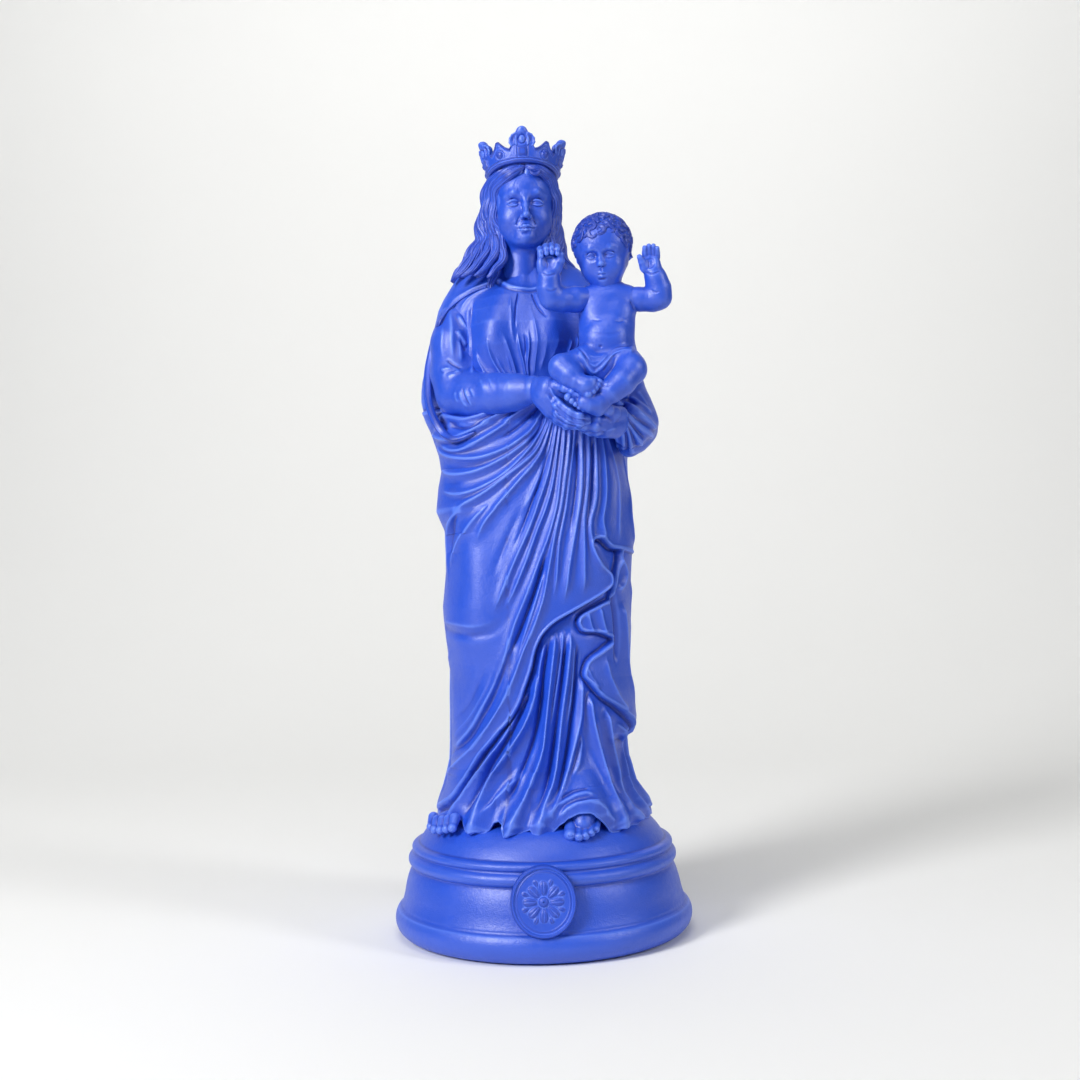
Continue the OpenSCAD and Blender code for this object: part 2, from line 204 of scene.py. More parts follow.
def near(a, b, line, reach):
    """For points (a, b) within reach of a polyline: their indices, distance, side (+1 to its right) and place along it from 0 to 1."""
    line = np.asarray(line, float)[:, :2]
    lo, hi = line.min(0) - reach, line.max(0) + reach
    idx = np.nonzero((a > lo[0]) & (a < hi[0]) & (b > lo[1]) & (b < hi[1]))[0]
    if len(idx) == 0:
        return idx, idx * 0.0, idx * 0.0, idx * 0.0
    x, y = a[idx], b[idx]
    best = np.full(len(idx), 1e9)
    side = np.zeros(len(idx))
    along = np.zeros(len(idx))
    seg = np.linalg.norm(np.diff(line, axis=0), axis=1)
    cum = np.concatenate([[0], np.cumsum(seg)])
    total = max(cum[-1], 1e-9)
    for i in range(len(line) - 1):
        p, q = line[i], line[i + 1]
        d = q - p
        L = max(d @ d, 1e-12)
        t = np.clip(((x - p[0]) * d[0] + (y - p[1]) * d[1]) / L, 0, 1)
        ex, ey = x - p[0] - t * d[0], y - p[1] - t * d[1]
        e = ex * ex + ey * ey
        m = e < best
        best[m] = e[m]
        side[m] = (ex[m] * d[1] - ey[m] * d[0])
        along[m] = (cum[i] + t[m] * seg[i]) / total
    dist = np.sqrt(best)
    keep = dist < reach
    return idx[keep], dist[keep], np.sign(side[keep]), along[keep]


def inside(a, b, poly):
    """Which points lie in a closed polygon."""
    poly = np.asarray(poly, float)
    r = np.zeros(len(a), bool)
    lo, hi = poly.min(0), poly.max(0)
    idx = np.nonzero((a > lo[0]) & (a < hi[0]) & (b > lo[1]) & (b < hi[1]))[0]
    x, y = a[idx], b[idx]
    c = np.zeros(len(idx), bool)
    for i in range(len(poly)):
        x1, y1 = poly[i]
        x2, y2 = poly[(i + 1) % len(poly)]
        if y1 == y2:
            continue
        c ^= ((y1 > y) != (y2 > y)) & (x < (x2 - x1) * (y - y1) / (y2 - y1) + x1)
    r[idx] = c
    return r


class Relief:
    """Heights over points (a, b): crests joined smoothly, then grooves cut."""

    def __init__(s, a, b, power=3.0):
        s.a, s.b, s.p = a, b, power
        s.up = np.zeros(len(a))
        s.down = np.zeros(len(a))
        s.soft = np.zeros(len(a))

    def crest(s, line, amp=1.6, left=2.0, right=None, e=0.35, ends=(0.15, 0.2), reach=4.0):
        right = left if right is None else right
        idx, d, side, t = near(s.a, s.b, line, reach * max(left, right))
        w = np.where(side > 0, right, left)
        fade = sm(0, max(ends[0], 1e-3), t) * sm(0, max(ends[1], 1e-3), 1 - t) if ends else 1.0
        h = amp * fade * np.exp(-(np.sqrt(d * d + e * e) - e) / w)
        h = np.maximum(h - amp * fade * math.exp(-reach) , 0)
        s.up[idx] += h ** s.p

    def groove(s, line, amp=1.2, w=1.2, ends=(0.15, 0.2), sharp=False):
        idx, d, side, t = near(s.a, s.b, line, 3.5 * w)
        fade = sm(0, max(ends[0], 1e-3), t) * sm(0, max(ends[1], 1e-3), 1 - t)
        prof = np.exp(-d / w) - math.exp(-3.5) if sharp else np.exp(-(d / w) ** 2)
        s.down[idx] = np.maximum(s.down[idx], amp * fade * prof)

    def bump(s, a0, b0, sa, sb, amp, turn=0.0):
        c, q = math.cos(turn), math.sin(turn)
        da, db = s.a - a0, s.b - b0
        s.soft += amp * np.exp(-((da * c + db * q) / sa) ** 2 - ((-da * q + db * c) / sb) ** 2)

    def height(s):
        return s.up ** (1 / s.p) - s.down + s.soft


# ---------------------------------------------------------------- rounded solids in a distance field
class Field:
    def __init__(s, lo, hi, h):
        h = h * COARSE
        s.h, s.lo = h, np.array(lo, float)
        n = np.ceil((np.array(hi, float) - s.lo) / h).astype(int) + 1
        s.ax = [(s.lo[i] + h * np.arange(n[i])).astype(np.float32) for i in range(3)]
        s.d = np.full(n, 8.0, np.float32)

    def _win(s, lo, hi):
        r = []
        for i in range(3):
            a = max(0, int((lo[i] - s.lo[i]) / s.h) - 1)
            b = min(len(s.ax[i]), int((hi[i] - s.lo[i]) / s.h) + 3)
            if b <= a:
                return None
            r.append(slice(a, b))
        return tuple(r)

    def apply(s, fn, lo, hi, k=1.0, cut=False):
        m = k + 2.5 * s.h + 0.5
        w = s._win([v - m for v in lo], [v + m for v in hi])
        if w is None:
            return
        X, Y, Z = s.ax[0][w[0]][:, None, None], s.ax[1][w[1]][None, :, None], s.ax[2][w[2]][None, None, :]
        b = fn(X, Y, Z).astype(np.float32)
        a = s.d[w]
        k = max(k, 1e-3)
        if cut:
            t = np.clip(0.5 - 0.5 * (a + b) / k, 0, 1)
            s.d[w] = a * (1 - t) - b * t + k * t * (1 - t)
        else:
            t = np.clip(0.5 + 0.5 * (b - a) / k, 0, 1)
            s.d[w] = b * (1 - t) + a * t - k * t * (1 - t)

    def cone(s, a, b, ra, rb, k=1.0, cut=False, flat=1.0, axis=(0, 0, 1)):
        """Round cone from a to b; flat below 1 squeezes it along axis."""
        a, b = np.asarray(a, float), np.asarray(b, float)
        ax = np.asarray(axis, float) / np.linalg.norm(axis)
        ab = b - a
        L = max(float(ab @ ab), 1e-9)

        def fn(X, Y, Z):
            px, py, pz = X - a[0], Y - a[1], Z - a[2]
            t = np.clip((px * ab[0] + py * ab[1] + pz * ab[2]) / L, 0, 1)
            qx, qy, qz = px - t * ab[0], py - t * ab[1], pz - t * ab[2]
            q2 = qx * qx + qy * qy + qz * qz
            if flat != 1.0:
                c = qx * ax[0] + qy * ax[1] + qz * ax[2]
                q2 = q2 + c * c * (1 / (flat * flat) - 1)
                return (np.sqrt(q2) - (ra + (rb - ra) * t)) * (flat if flat < 1 else 1)
            return np.sqrt(q2) - (ra + (rb - ra) * t)
        r = max(ra, rb) * max(1, flat)
        s.apply(fn, np.minimum(a, b) - r, np.maximum(a, b) + r, k, cut)

    def chain(s, pts, k=1.0, joint=0.6, flat=1.0, axis=(0, 0, 1)):
        """pts of (point, radius)."""
        for (a, ra), (b, rb) in zip(pts[:-1], pts[1:]):
            s.cone(a, b, ra, rb, k, flat=flat, axis=axis)

    def ball(s, c, r, k=1.0, cut=False, rot=None):
        """Ellipsoid with radii r, turned by the rotation matrix rot."""
        c = np.asarray(c, float)
        r = np.asarray(r if np.ndim(r) else (r, r, r), float)
        R = np.eye(3) if rot is None else np.asarray(rot, float)

        def fn(X, Y, Z):
            x, y, z = X - c[0], Y - c[1], Z - c[2]
            u = (x * R[0, 0] + y * R[1, 0] + z * R[2, 0])
            v = (x * R[0, 1] + y * R[1, 1] + z * R[2, 1])
            w = (x * R[0, 2] + y * R[1, 2] + z * R[2, 2])
            k0 = np.sqrt((u / r[0]) ** 2 + (v / r[1]) ** 2 + (w / r[2]) ** 2)
            k1 = np.sqrt((u / r[0] ** 2) ** 2 + (v / r[1] ** 2) ** 2 + (w / r[2] ** 2) ** 2)
            return k0 * (k0 - 1.0) / np.maximum(k1, 1e-6)
        m = r.max()
        s.apply(fn, c - m, c + m, k, cut)

    def plane(s, point, normal, k=0.5):
        """Cuts away what lies beyond the plane."""
        p, n = np.asarray(point, float), np.asarray(normal, float)
        n = n / np.linalg.norm(n)
        b = -((s.ax[0][:, None, None] - p[0]) * n[0] + (s.ax[1][None, :, None] - p[1]) * n[1] + (s.ax[2][None, None, :] - p[2]) * n[2])
        a = s.d
        t = np.clip(0.5 - 0.5 * (a + b) / k, 0, 1)
        s.d = (a * (1 - t) - b * t + k * t * (1 - t)).astype(np.float32)

    def sample(s, v):
        g = (v - s.lo) / s.h
        n = np.array(s.d.shape)
        i = np.clip(np.floor(g).astype(int), 0, n - 2)
        f = g - i
        out = 0
        for dx in (0, 1):
            for dy in (0, 1):
                for dz in (0, 1):
                    w = (f[:, 0] if dx else 1 - f[:, 0]) * (f[:, 1] if dy else 1 - f[:, 1]) * (f[:, 2] if dz else 1 - f[:, 2])
                    out = out + w * s.d[i[:, 0] + dx, i[:, 1] + dy, i[:, 2] + dz]
        return out

    def mesh(s, relaxed=2):
        """Vertices and quads of the surface, with every separate part of it kept."""
        d = s.d
        neg = d < 0
        neg[0], neg[-1] = False, False
        neg[:, 0], neg[:, -1] = False, False
        neg[:, :, 0], neg[:, :, -1] = False, False
        d = np.where(neg, np.minimum(d, -1e-4), np.maximum(d, 1e-4))
        nx, ny, nz = d.shape
        c = np.zeros((nx - 1, ny - 1, nz - 1), np.uint8)
        for i in (0, 1):
            for j in (0, 1):
                for k in (0, 1):
                    c += neg[i:nx - 1 + i, j:ny - 1 + j, k:nz - 1 + k]
        act = (c > 0) & (c < 8)
        idx = np.argwhere(act)
        cell = np.full(act.shape, -1, np.int32)
        cell[act] = np.arange(len(idx))
        off = [(i, j, k) for i in (0, 1) for j in (0, 1) for k in (0, 1)]
        val = np.stack([d[idx[:, 0] + i, idx[:, 1] + j, idx[:, 2] + k] for i, j, k in off], 1)
        acc, cnt = np.zeros((len(idx), 3)), np.zeros(len(idx))
        for m in range(8):
            for n in range(m + 1, 8):
                if sum(abs(off[m][q] - off[n][q]) for q in range(3)) != 1:
                    continue
                va, vb = val[:, m], val[:, n]
                x = (va < 0) != (vb < 0)
                t = va[x] / (va[x] - vb[x])
                acc[x] += np.array(off[m]) + t[:, None] * (np.array(off[n]) - np.array(off[m]))
                cnt[x] += 1
        v = (idx + acc / cnt[:, None]) * s.h + s.lo
        quads = []
        for ax in range(3):
            o = [0, 0, 0]
            sl0, sl1 = [slice(1, -1)] * 3, [slice(1, -1)] * 3
            sl0[ax], sl1[ax] = slice(0, -1), slice(1, None)
            a, b = neg[tuple(sl0)], neg[tuple(sl1)]
            for first in (True, False):
                e = np.argwhere(a & ~b if first else ~a & b)
                base = e + 1
                base[:, ax] -= 1
                p, q = (ax + 1) % 3, (ax + 2) % 3
                ids = []
                for dp, dq in ((-1, -1), (0, -1), (0, 0), (-1, 0)):
                    g = base.copy()
                    g[:, p] += dp
                    g[:, q] += dq
                    ids.append(cell[g[:, 0], g[:, 1], g[:, 2]])
                f = np.stack(ids, 1)
                quads.append(f if first else f[:, ::-1])
        quads = np.concatenate(quads)
        for _ in range(relaxed):
            v = relax(v, quads, 1, 0.5)
            e = 0.4 * s.h
            g = np.stack([(s.sample(v + np.eye(3)[i] * e) - s.sample(v - np.eye(3)[i] * e)) / (2 * e) for i in range(3)], 1)
            g2 = np.maximum((g * g).sum(1), 0.05)
            dv = s.sample(v)
            v = v - np.clip(dv / g2, -s.h, s.h)[:, None] * g
        return v, quads


def turn(axis, deg):
    return np.array(Matrix.Rotation(math.radians(deg), 3, axis if isinstance(axis, str) else Vector(axis)))


def tube(path, radii, n=16, groove=None, flat=None, up=(0, -1, 0), cap=True):
    """Verts and faces of a tube along path rows. groove(t, phi) scales the radius, and flat is (width, thickness) factors."""
    p = np.asarray(path, float)
    t = np.gradient(p, axis=0)
    t /= np.linalg.norm(t, axis=1, keepdims=True)
    u = np.zeros_like(p)
    prev = np.asarray(up, float)
    for i in range(len(p)):
        w = prev - t[i] * (prev @ t[i])
        w /= max(np.linalg.norm(w), 1e-9)
        u[i] = w
        prev = w
    b = np.cross(t, u)
    phi = np.linspace(0, 2 * math.pi, n, endpoint=False)
    s = np.linspace(0, 1, len(p))
    r = np.asarray(radii, float)[:, None] * np.ones((1, n))
    if groove is not None:
        r = r * groove(s[:, None], phi[None, :])
    fw, ft = flat if flat else (1, 1)
    v = p[:, None] + (r * np.cos(phi) * ft)[..., None] * u[:, None] + (r * np.sin(phi) * fw)[..., None] * b[:, None]
    faces = grid_faces(len(p), n)[:, ::-1]
    v = v.reshape(-1, 3)
    if cap:
        v = np.vstack([v, p[0], p[-1]])
        a, z = len(v) - 2, len(v) - 1
        j = np.arange(n)
        c0 = np.stack([np.full(n, a), j, (j + 1) % n], 1)
        o = (len(p) - 1) * n
        c1 = np.stack([np.full(n, z), o + (j + 1) % n, o + j], 1)
        tri = np.concatenate([c0, c1])[:, ::-1]
        return v, faces, tri[:, ::-1]
    return v, faces, np.zeros((0, 3), int)


def join(parts):
    """Puts (verts, quads, tris) parts into one."""
    v, q, t, n = [], [], [], 0
    for part in parts:
        v.append(part[0])
        q.append(part[1] + n)
        if len(part) > 2 and len(part[2]):
            t.append(part[2] + n)
        n += len(part[0])
    return np.vstack(v), [np.concatenate(q)] + ([np.concatenate(t)] if t else [])


# ---------------------------------------------------------------- materials
def node(nt, kind, **kw):
    n = nt.nodes.new(kind)
    for k, v in kw.items():
        if k in n.inputs:
            n.inputs[k].default_value = v
        else:
            setattr(n, k, v)
    return n


def paint(name, grain=1.0, base=(0.0105, 0.074, 0.595), rough=0.41):
    """Satin blue cast resin: fine grain, faint cloudiness, a painted highlight that makes raised crests paler, painted
    shade that darkens the hollows, a few specks of dust.
    """
    m = bpy.data.materials.new(name)
    m.use_nodes = True
    nt = m.node_tree
    b = nt.nodes["Principled BSDF"]
    L = nt.links.new
    co = node(nt, "ShaderNodeTexCoord")
    cloud = node(nt, "ShaderNodeTexNoise", Scale=38.0, Detail=4.0, Roughness=0.55)
    L(co.outputs["Object"], cloud.inputs["Vector"])
    fine = node(nt, "ShaderNodeTexNoise", Scale=1500.0, Detail=2.0, Roughness=0.6)
    L(co.outputs["Object"], fine.inputs["Vector"])
    mid = node(nt, "ShaderNodeTexNoise", Scale=420.0, Detail=3.0, Roughness=0.6)
    L(co.outputs["Object"], mid.inputs["Vector"])
    tone = node(nt, "ShaderNodeMapRange")
    tone.inputs["From Min"].default_value, tone.inputs["From Max"].default_value = 0.3, 0.7
    tone.inputs["To Min"].default_value, tone.inputs["To Max"].default_value = 0.0, 1.0
    L(cloud.outputs["Fac"], tone.inputs["Value"])
    c1 = node(nt, "ShaderNodeMix", data_type="RGBA")
    c1.inputs["A"].default_value = (base[0] * 0.9, base[1] * 0.93, base[2] * 0.95, 1)
    c1.inputs["B"].default_value = (base[0] * 1.1, base[1] * 1.06, base[2] * 1.04, 1)
    L(tone.outputs["Result"], c1.inputs["Factor"])
    # the relief attribute drives both the painted shade and the painted highlight below
    rel = node(nt, "ShaderNodeAttribute", attribute_type="GEOMETRY", attribute_name="relief")
    # painted shade: hollows, where the relief is below zero, are darkened to a deeper blue as if in shadow
    lo = node(nt, "ShaderNodeMapRange", interpolation_type="SMOOTHSTEP")
    lo.inputs["From Min"].default_value, lo.inputs["From Max"].default_value = -0.34, 0.0
    lo.inputs["To Min"].default_value, lo.inputs["To Max"].default_value = 0.8, 0.0
    L(rel.outputs["Fac"], lo.inputs["Value"])
    # painted highlight: raised crests, where the relief is above zero, are made a paler blue as if catching the light
    hi = node(nt, "ShaderNodeMapRange", interpolation_type="SMOOTHSTEP")
    hi.inputs["From Min"].default_value, hi.inputs["From Max"].default_value = 0.02, 0.34
    hi.inputs["To Min"].default_value, hi.inputs["To Max"].default_value = 0.0, 0.62
    L(rel.outputs["Fac"], hi.inputs["Value"])
    # painted shade in the hollows, mixed over the base tone
    painted_shade_mix = node(nt, "ShaderNodeMix", data_type="RGBA")
    painted_shade_mix.inputs["B"].default_value = (base[0] * 0.3, base[1] * 0.4, base[2] * 0.58, 1)
    L(c1.outputs["Result"], painted_shade_mix.inputs["A"])
    L(lo.outputs["Result"], painted_shade_mix.inputs["Factor"])
    # painted highlight on the crests, mixed over the painted shade
    painted_highlight_mix = node(nt, "ShaderNodeMix", data_type="RGBA")
    painted_highlight_mix.inputs["B"].default_value = (0.12, 0.25, 0.92, 1)
    L(painted_shade_mix.outputs["Result"], painted_highlight_mix.inputs["A"])
    L(hi.outputs["Result"], painted_highlight_mix.inputs["Factor"])
    # a few pale specks of dust
    vor = node(nt, "ShaderNodeTexVoronoi", Scale=95.0, Randomness=1.0)
    L(co.outputs["Object"], vor.inputs["Vector"])
    sp = node(nt, "ShaderNodeMapRange")
    sp.inputs["From Min"].default_value, sp.inputs["From Max"].default_value = 0.020, 0.012
    sp.inputs["To Min"].default_value, sp.inputs["To Max"].default_value = 0.0, 0.35
    L(vor.outputs["Distance"], sp.inputs["Value"])
    c4 = node(nt, "ShaderNodeMix", data_type="RGBA")
    c4.inputs["B"].default_value = (0.36, 0.44, 0.86, 1)
    L(painted_highlight_mix.outputs["Result"], c4.inputs["A"])
    L(sp.outputs["Result"], c4.inputs["Factor"])
    L(c4.outputs["Result"], b.inputs["Base Color"])
    r = node(nt, "ShaderNodeMapRange")
    r.inputs["From Min"].default_value, r.inputs["From Max"].default_value = 0.25, 0.75
    r.inputs["To Min"].default_value, r.inputs["To Max"].default_value = rough - 0.06, rough + 0.08
    L(mid.outputs["Fac"], r.inputs["Value"])
    L(r.outputs["Result"], b.inputs["Roughness"])
    b1 = node(nt, "ShaderNodeBump", Strength=0.6 * grain, Distance=0.0002)
    L(fine.outputs["Fac"], b1.inputs["Height"])
    b2 = node(nt, "ShaderNodeBump", Strength=0.26 * grain, Distance=0.0005)
    L(mid.outputs["Fac"], b2.inputs["Height"])
    L(b1.outputs["Normal"], b2.inputs["Normal"])
    L(b2.outputs["Normal"], b.inputs["Normal"])
    b.inputs["IOR"].default_value = 1.5
    b.inputs["Specular IOR Level"].default_value = 0.85
    return m


def plain(name, color, rough, metal=0.0, scale=300.0, bump=0.2, dist=0.0003, stretch=(1, 1, 1), vary=0.25):
    """A simple two-tone material with its own grain."""
    m = bpy.data.materials.new(name)
    m.use_nodes = True
    nt = m.node_tree
    b = nt.nodes["Principled BSDF"]
    co = node(nt, "ShaderNodeTexCoord")
    mp = node(nt, "ShaderNodeMapping")
    mp.inputs["Scale"].default_value = stretch
    no = node(nt, "ShaderNodeTexNoise", Scale=scale, Detail=5.0, Roughness=0.65)
    nt.links.new(co.outputs["Object"], mp.inputs["Vector"])
    nt.links.new(mp.outputs["Vector"], no.inputs["Vector"])
    c = node(nt, "ShaderNodeMix", data_type="RGBA")
    c.inputs["A"].default_value = tuple(v * (1 - vary) for v in color) + (1,)
    c.inputs["B"].default_value = tuple(min(1, v * (1 + vary)) for v in color) + (1,)
    nt.links.new(no.outputs["Fac"], c.inputs["Factor"])
    nt.links.new(c.outputs["Result"], b.inputs["Base Color"])
    r = node(nt, "ShaderNodeMapRange")
    r.inputs["To Min"].default_value, r.inputs["To Max"].default_value = max(0, rough - 0.1), min(1, rough + 0.1)
    nt.links.new(no.outputs["Fac"], r.inputs["Value"])
    nt.links.new(r.outputs["Result"], b.inputs["Roughness"])
    bu = node(nt, "ShaderNodeBump", Strength=bump, Distance=dist)
    nt.links.new(no.outputs["Fac"], bu.inputs["Height"])
    nt.links.new(bu.outputs["Normal"], b.inputs["Normal"])
    b.inputs["Metallic"].default_value = metal
    return m


BLUE = paint("blue_resin")
FELT = plain("felt", (0.02, 0.022, 0.035), 0.95, scale=900, bump=0.8, dist=0.0006)
BOARD = plain("hardboard", (0.24, 0.13, 0.06), 0.8, scale=160, bump=0.4, stretch=(1, 8, 1))
STEEL = plain("drawn_steel", (0.55, 0.55, 0.57), 0.32, metal=1.0, scale=500, bump=0.1, stretch=(6, 6, 0.4), vary=0.08)
for n, m in (("felt_pad", FELT), ("closing_disc", BOARD), ("figure_dowels", STEEL), ("neck_pin", STEEL), ("child_pins", STEEL)):
    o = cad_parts[n]
    o.data.materials.clear()
    o.data.materials.append(m)

# ---------------------------------------------------------------- stage and light
sc = bpy.context.scene
sc.view_settings.view_transform = "Standard"
sc.view_settings.look = "None"
sc.view_settings.exposure = 0.0
sc.view_settings.gamma = 1.0
paper = plain("paper_sweep", (0.90, 0.90, 0.885), 0.9, scale=3.0, bump=0.02, vary=0.012)
prof = [(-3.0, 0.0), (0.55, 0.0)]
prof += [(0.55 + 0.9 * math.sin(a), 0.9 - 0.9 * math.cos(a)) for a in np.radians(np.arange(4, 91, 4))]
prof += [(1.45, 3.4)]
pv = np.array([(x, y, z) for y, z in prof for x in (-4.0, 4.0)]) / MM
pf = np.array([(2 * i, 2 * i + 1, 2 * i + 3, 2 * i + 2) for i in range(len(prof) - 1)])
me = bpy.data.meshes.new("paper_sweep")
me.from_pydata([tuple(v * MM) for v in pv], [], [tuple(int(q) for q in f) for f in pf])
me.shade_smooth()
me.materials.append(paper)
sweep = bpy.data.objects.new("paper_sweep", me)
sc.collection.objects.link(sweep)

world = bpy.data.worlds.new("studio")
sc.world = world
world.use_nodes = True
world.node_tree.nodes["Background"].inputs[0].default_value = (0.97, 0.985, 1.0, 1)
world.node_tree.nodes["Background"].inputs[1].default_value = 0.055


def softbox(name, az, el, dist, size, watts, color=(1, 1, 1), target=(0, 0, 0.2)):
    a, e = math.radians(az), math.radians(el)
    p = Vector(target) + dist * Vector((math.sin(a) * math.cos(e), -math.cos(a) * math.cos(e), math.sin(e)))
    d = bpy.data.lights.new(name, "AREA")
    d.shape = "ELLIPSE"
    d.size, d.size_y = size
    d.energy = watts
    d.color = color
    o = bpy.data.objects.new(name, d)
    o.location = p
    o.rotation_euler = (Vector(target) - p).to_track_quat("-Z", "Y").to_euler()
    sc.collection.objects.link(o)
    return o


softbox("key", -44, 27, 1.4, (0.40, 0.60), 17.5)
softbox("fill", 60, 24, 1.5, (0.32, 0.62), 6.6)
softbox("top", -6, 64, 1.5, (0.9, 0.7), 6.0)
softbox("backdrop_wash", 0, 32, 1.15, (2.6, 0.5), 9.6, target=(0.1, 1.45, 0.75))

# ---------------------------------------------------------------- plinth
def arc(cr, cz, rr, rz, a0, a1, n):
    a = np.radians(np.linspace(a0, a1, n))
    return [(cr + rr * math.cos(t), cz + rz * math.sin(t)) for t in a]


def lathe_profile():
    out = [(65.5, 6.0), (65.5, 0.9), (66.2, 0.4), (67.4, 0.25)]
    out += arc(66.6, 8.6, 7.9, 8.2, -68, 38, 30)
    out += arc(73.2, 15.9, 2.3, 2.2, 235, 180, 8)[1:]
    lower = [(70.9, 15.9), (70.1, 18.2), (69.35, 21.0), (68.75, 24.0), (68.05, 27.0), (67.2, 29.8), (66.2, 32.2), (65.35, 33.7)]
    out += [tuple(p) for p in spline(lower, 0.5)[1:-1]]
    out += [(65.25, 34.2), (65.3, 34.7)]
    out += arc(64.1, 37.7, 3.1, 3.2, -66, 66, 20)
    out += [(65.1, 40.9), (64.75, 41.15), (64.75, 41.5)]
    out += arc(63.2, 43.5, 2.15, 2.05, -52, 82, 18)
    out += [(62.6, 45.75), (61.9, 45.85), (61.45, 46.15), (61.15, 46.7)]
    dome = [(61.15, 46.7), (60.2, 48.3), (58.8, 50.4), (57.0, 52.6), (54.8, 54.9), (52.0, 57.0), (48.5, 58.4), (44.0, 59.2), (38.0, 59.6), (20, 59.9), (0.01, 60.0)]
    out += [tuple(p) for p in spline(dome, 0.6)[1:]]
    return np.array(out)


pr = lathe_profile()
nphi = 360
phi = np.linspace(0, 2 * math.pi, nphi, endpoint=False)
pv = np.stack([pr[:, 0, None] * np.cos(phi), pr[:, 0, None] * np.sin(phi), pr[:, 1, None] * np.ones(nphi)], -1)
# slight unevenness of the casting
w = 0.10 * np.sin(3 * phi + 1.0)[None, :] * np.sin(pr[:, 1] / 6.0)[:, None] + 0.06 * np.sin(7 * phi + pr[:, 1, None] / 9.0)
w = w * sm(2, 6, pr[:, 1])[:, None] * sm(30, 45, pr[:, 0])[:, None]
pv[..., 0] += w * np.cos(phi)
pv[..., 1] += w * np.sin(phi)
mesh_obj("plinth_shell", pv.reshape(-1, 3), grid_faces(len(pr), nphi), BLUE, ["plinth"])

# ---------------------------------------------------------------- medallion
def medallion():
    lo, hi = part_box("medallion")
    c = (np.array(lo) + np.array(hi)) / 2 / MM
    A, B = 15.1, 16.5
    n, rings = 240, np.concatenate([np.linspace(0.02, 0.86, 70), np.linspace(0.865, 1.0, 24)])
    f = np.linspace(0, 2 * math.pi, n, endpoint=False)
    R, Fi = rings[:, None], f[None, :]
    x, y = R * A * np.cos(Fi), R * B * np.sin(Fi)
    edge = (1 - R) * 15.8                                     # mm in from the rim
    h = 0.9 * sm(0, 0.45, edge) * (1 - sm(1.35, 1.9, edge)) - 0.25 * (1 - sm(0, 0.3, edge))
    h = h + 0.22 * np.exp(-((edge - 2.9) / 0.28) ** 2)
    rr = np.hypot(x, y)
    a = np.arctan2(y, x)
    for k, (r0, pet, ln, wd, amp, ph) in enumerate(((6.2, 8, 3.3, 1.9, 1.0, 0.0), (9.0, 8, 1.7, 1.0, 0.6, math.pi / 8))):
        s = (a - ph) * pet / (2 * math.pi)
        s = (s - np.round(s)) * 2 * math.pi / pet
        u, v = rr * np.cos(s) - r0, rr * np.sin(s)
        q = np.sqrt((u / ln) ** 2 + (v / (wd * (1.0 + 0.28 * u / ln))) ** 2)
        b = amp * np.sqrt(np.clip(1 - q * q, 0, 1))
        b = b - 0.35 * amp * np.exp(-(v / 0.28) ** 2) * (q < 0.85)
        h = np.maximum(h, np.where(q < 1, b, -9))
    q = rr / 2.4
    h = np.maximum(h, np.where(q < 1, 1.5 * np.sqrt(np.clip(1 - q * q, 0, 1)) + 0.0, -9))
    top = np.stack([x, y, 2.0 + h], -1)
    side = [np.stack([A * np.cos(f) * s, B * np.sin(f) * s, np.full(n, z)], -1) for s, z in ((1.006, 1.6), (1.012, 1.1), (1.012, 0.0), (1.0, -2.4))]
    v = np.concatenate([top, np.array(side)]).reshape(-1, 3)
    tilt = turn("X", 90 - 8)
    v = v @ tilt.T + np.array([0, -69.9, c[2] if abs(c[2] - 29.6) < 2 else 29.6])
    m = len(rings) + len(side)
    fan = np.stack([np.zeros(n - 2, int), np.arange(1, n - 1), np.arange(2, n)], 1)
    return v, [grid_faces(m, n), fan[:, ::-1] if False else fan]


v, f = medallion()
mesh_obj("medallion_rosette", v, [f[0], f[1]], BLUE, ["medallion"])


# ---------------------------------------------------------------- the draped figure
# z, left, right half-widths, front, back depths and squareness of the gown's column
COLUMN = np.array([
    (57.0, 51.0, 53.0, 50.0, 45.0), (60.0, 50.5, 53.0, 50.0, 44.5), (65.0, 49.0, 51.5, 48.0, 43.0),
    (70.0, 47.0, 49.5, 45.5, 41.5), (76.0, 45.5, 46.0, 43.0, 40.0), (84.0, 44.0, 43.8, 40.5, 38.5),
    (94.0, 43.2, 42.6, 38.6, 37.0), (105.0, 43.2, 43.0, 37.4, 36.0), (120.0, 43.0, 43.6, 36.4, 35.0),
    (136.0, 42.6, 43.6, 35.6, 34.2), (150.0, 43.6, 43.6, 35.2, 33.6), (163.0, 44.2, 44.0, 35.2, 33.0),
    (176.0, 42.8, 45.0, 35.2, 32.6), (190.0, 41.4, 46.0, 35.0, 32.2), (200.0, 42.0, 45.6, 34.6, 32.0),
    (211.0, 46.6, 45.0, 34.0, 31.8), (222.0, 45.4, 43.4, 33.2, 31.4), (231.0, 43.6, 41.8, 32.4, 31.0),
    (242.0, 45.6, 40.4, 31.2, 30.4), (252.0, 46.4, 39.0, 29.8, 29.6), (260.0, 41.0, 37.0, 27.6, 28.4),
    (268.0, 36.5, 35.6, 25.4, 27.0), (280.0, 34.0, 34.0, 25.6, 25.6), (292.0, 33.4, 33.0, 26.6, 24.6),
    (302.0, 32.6, 32.0, 25.4, 24.0), (310.0, 30.6, 30.0, 22.6, 23.0), (316.0, 27.0, 26.4, 19.4, 21.4),
    (320.0, 22.6, 22.0, 16.8, 19.6), (323.5, 15.5, 14.8, 13.8, 16.4), (325.5, 11.5, 11.0, 12.4, 13.2),
    (330.0, 9.2, 8.8, 9.4, 11.4), (333.0, 7.4, 7.4, 7.6, 9.0), (339.0, 6.0, 6.0, 6.0, 6.0)])
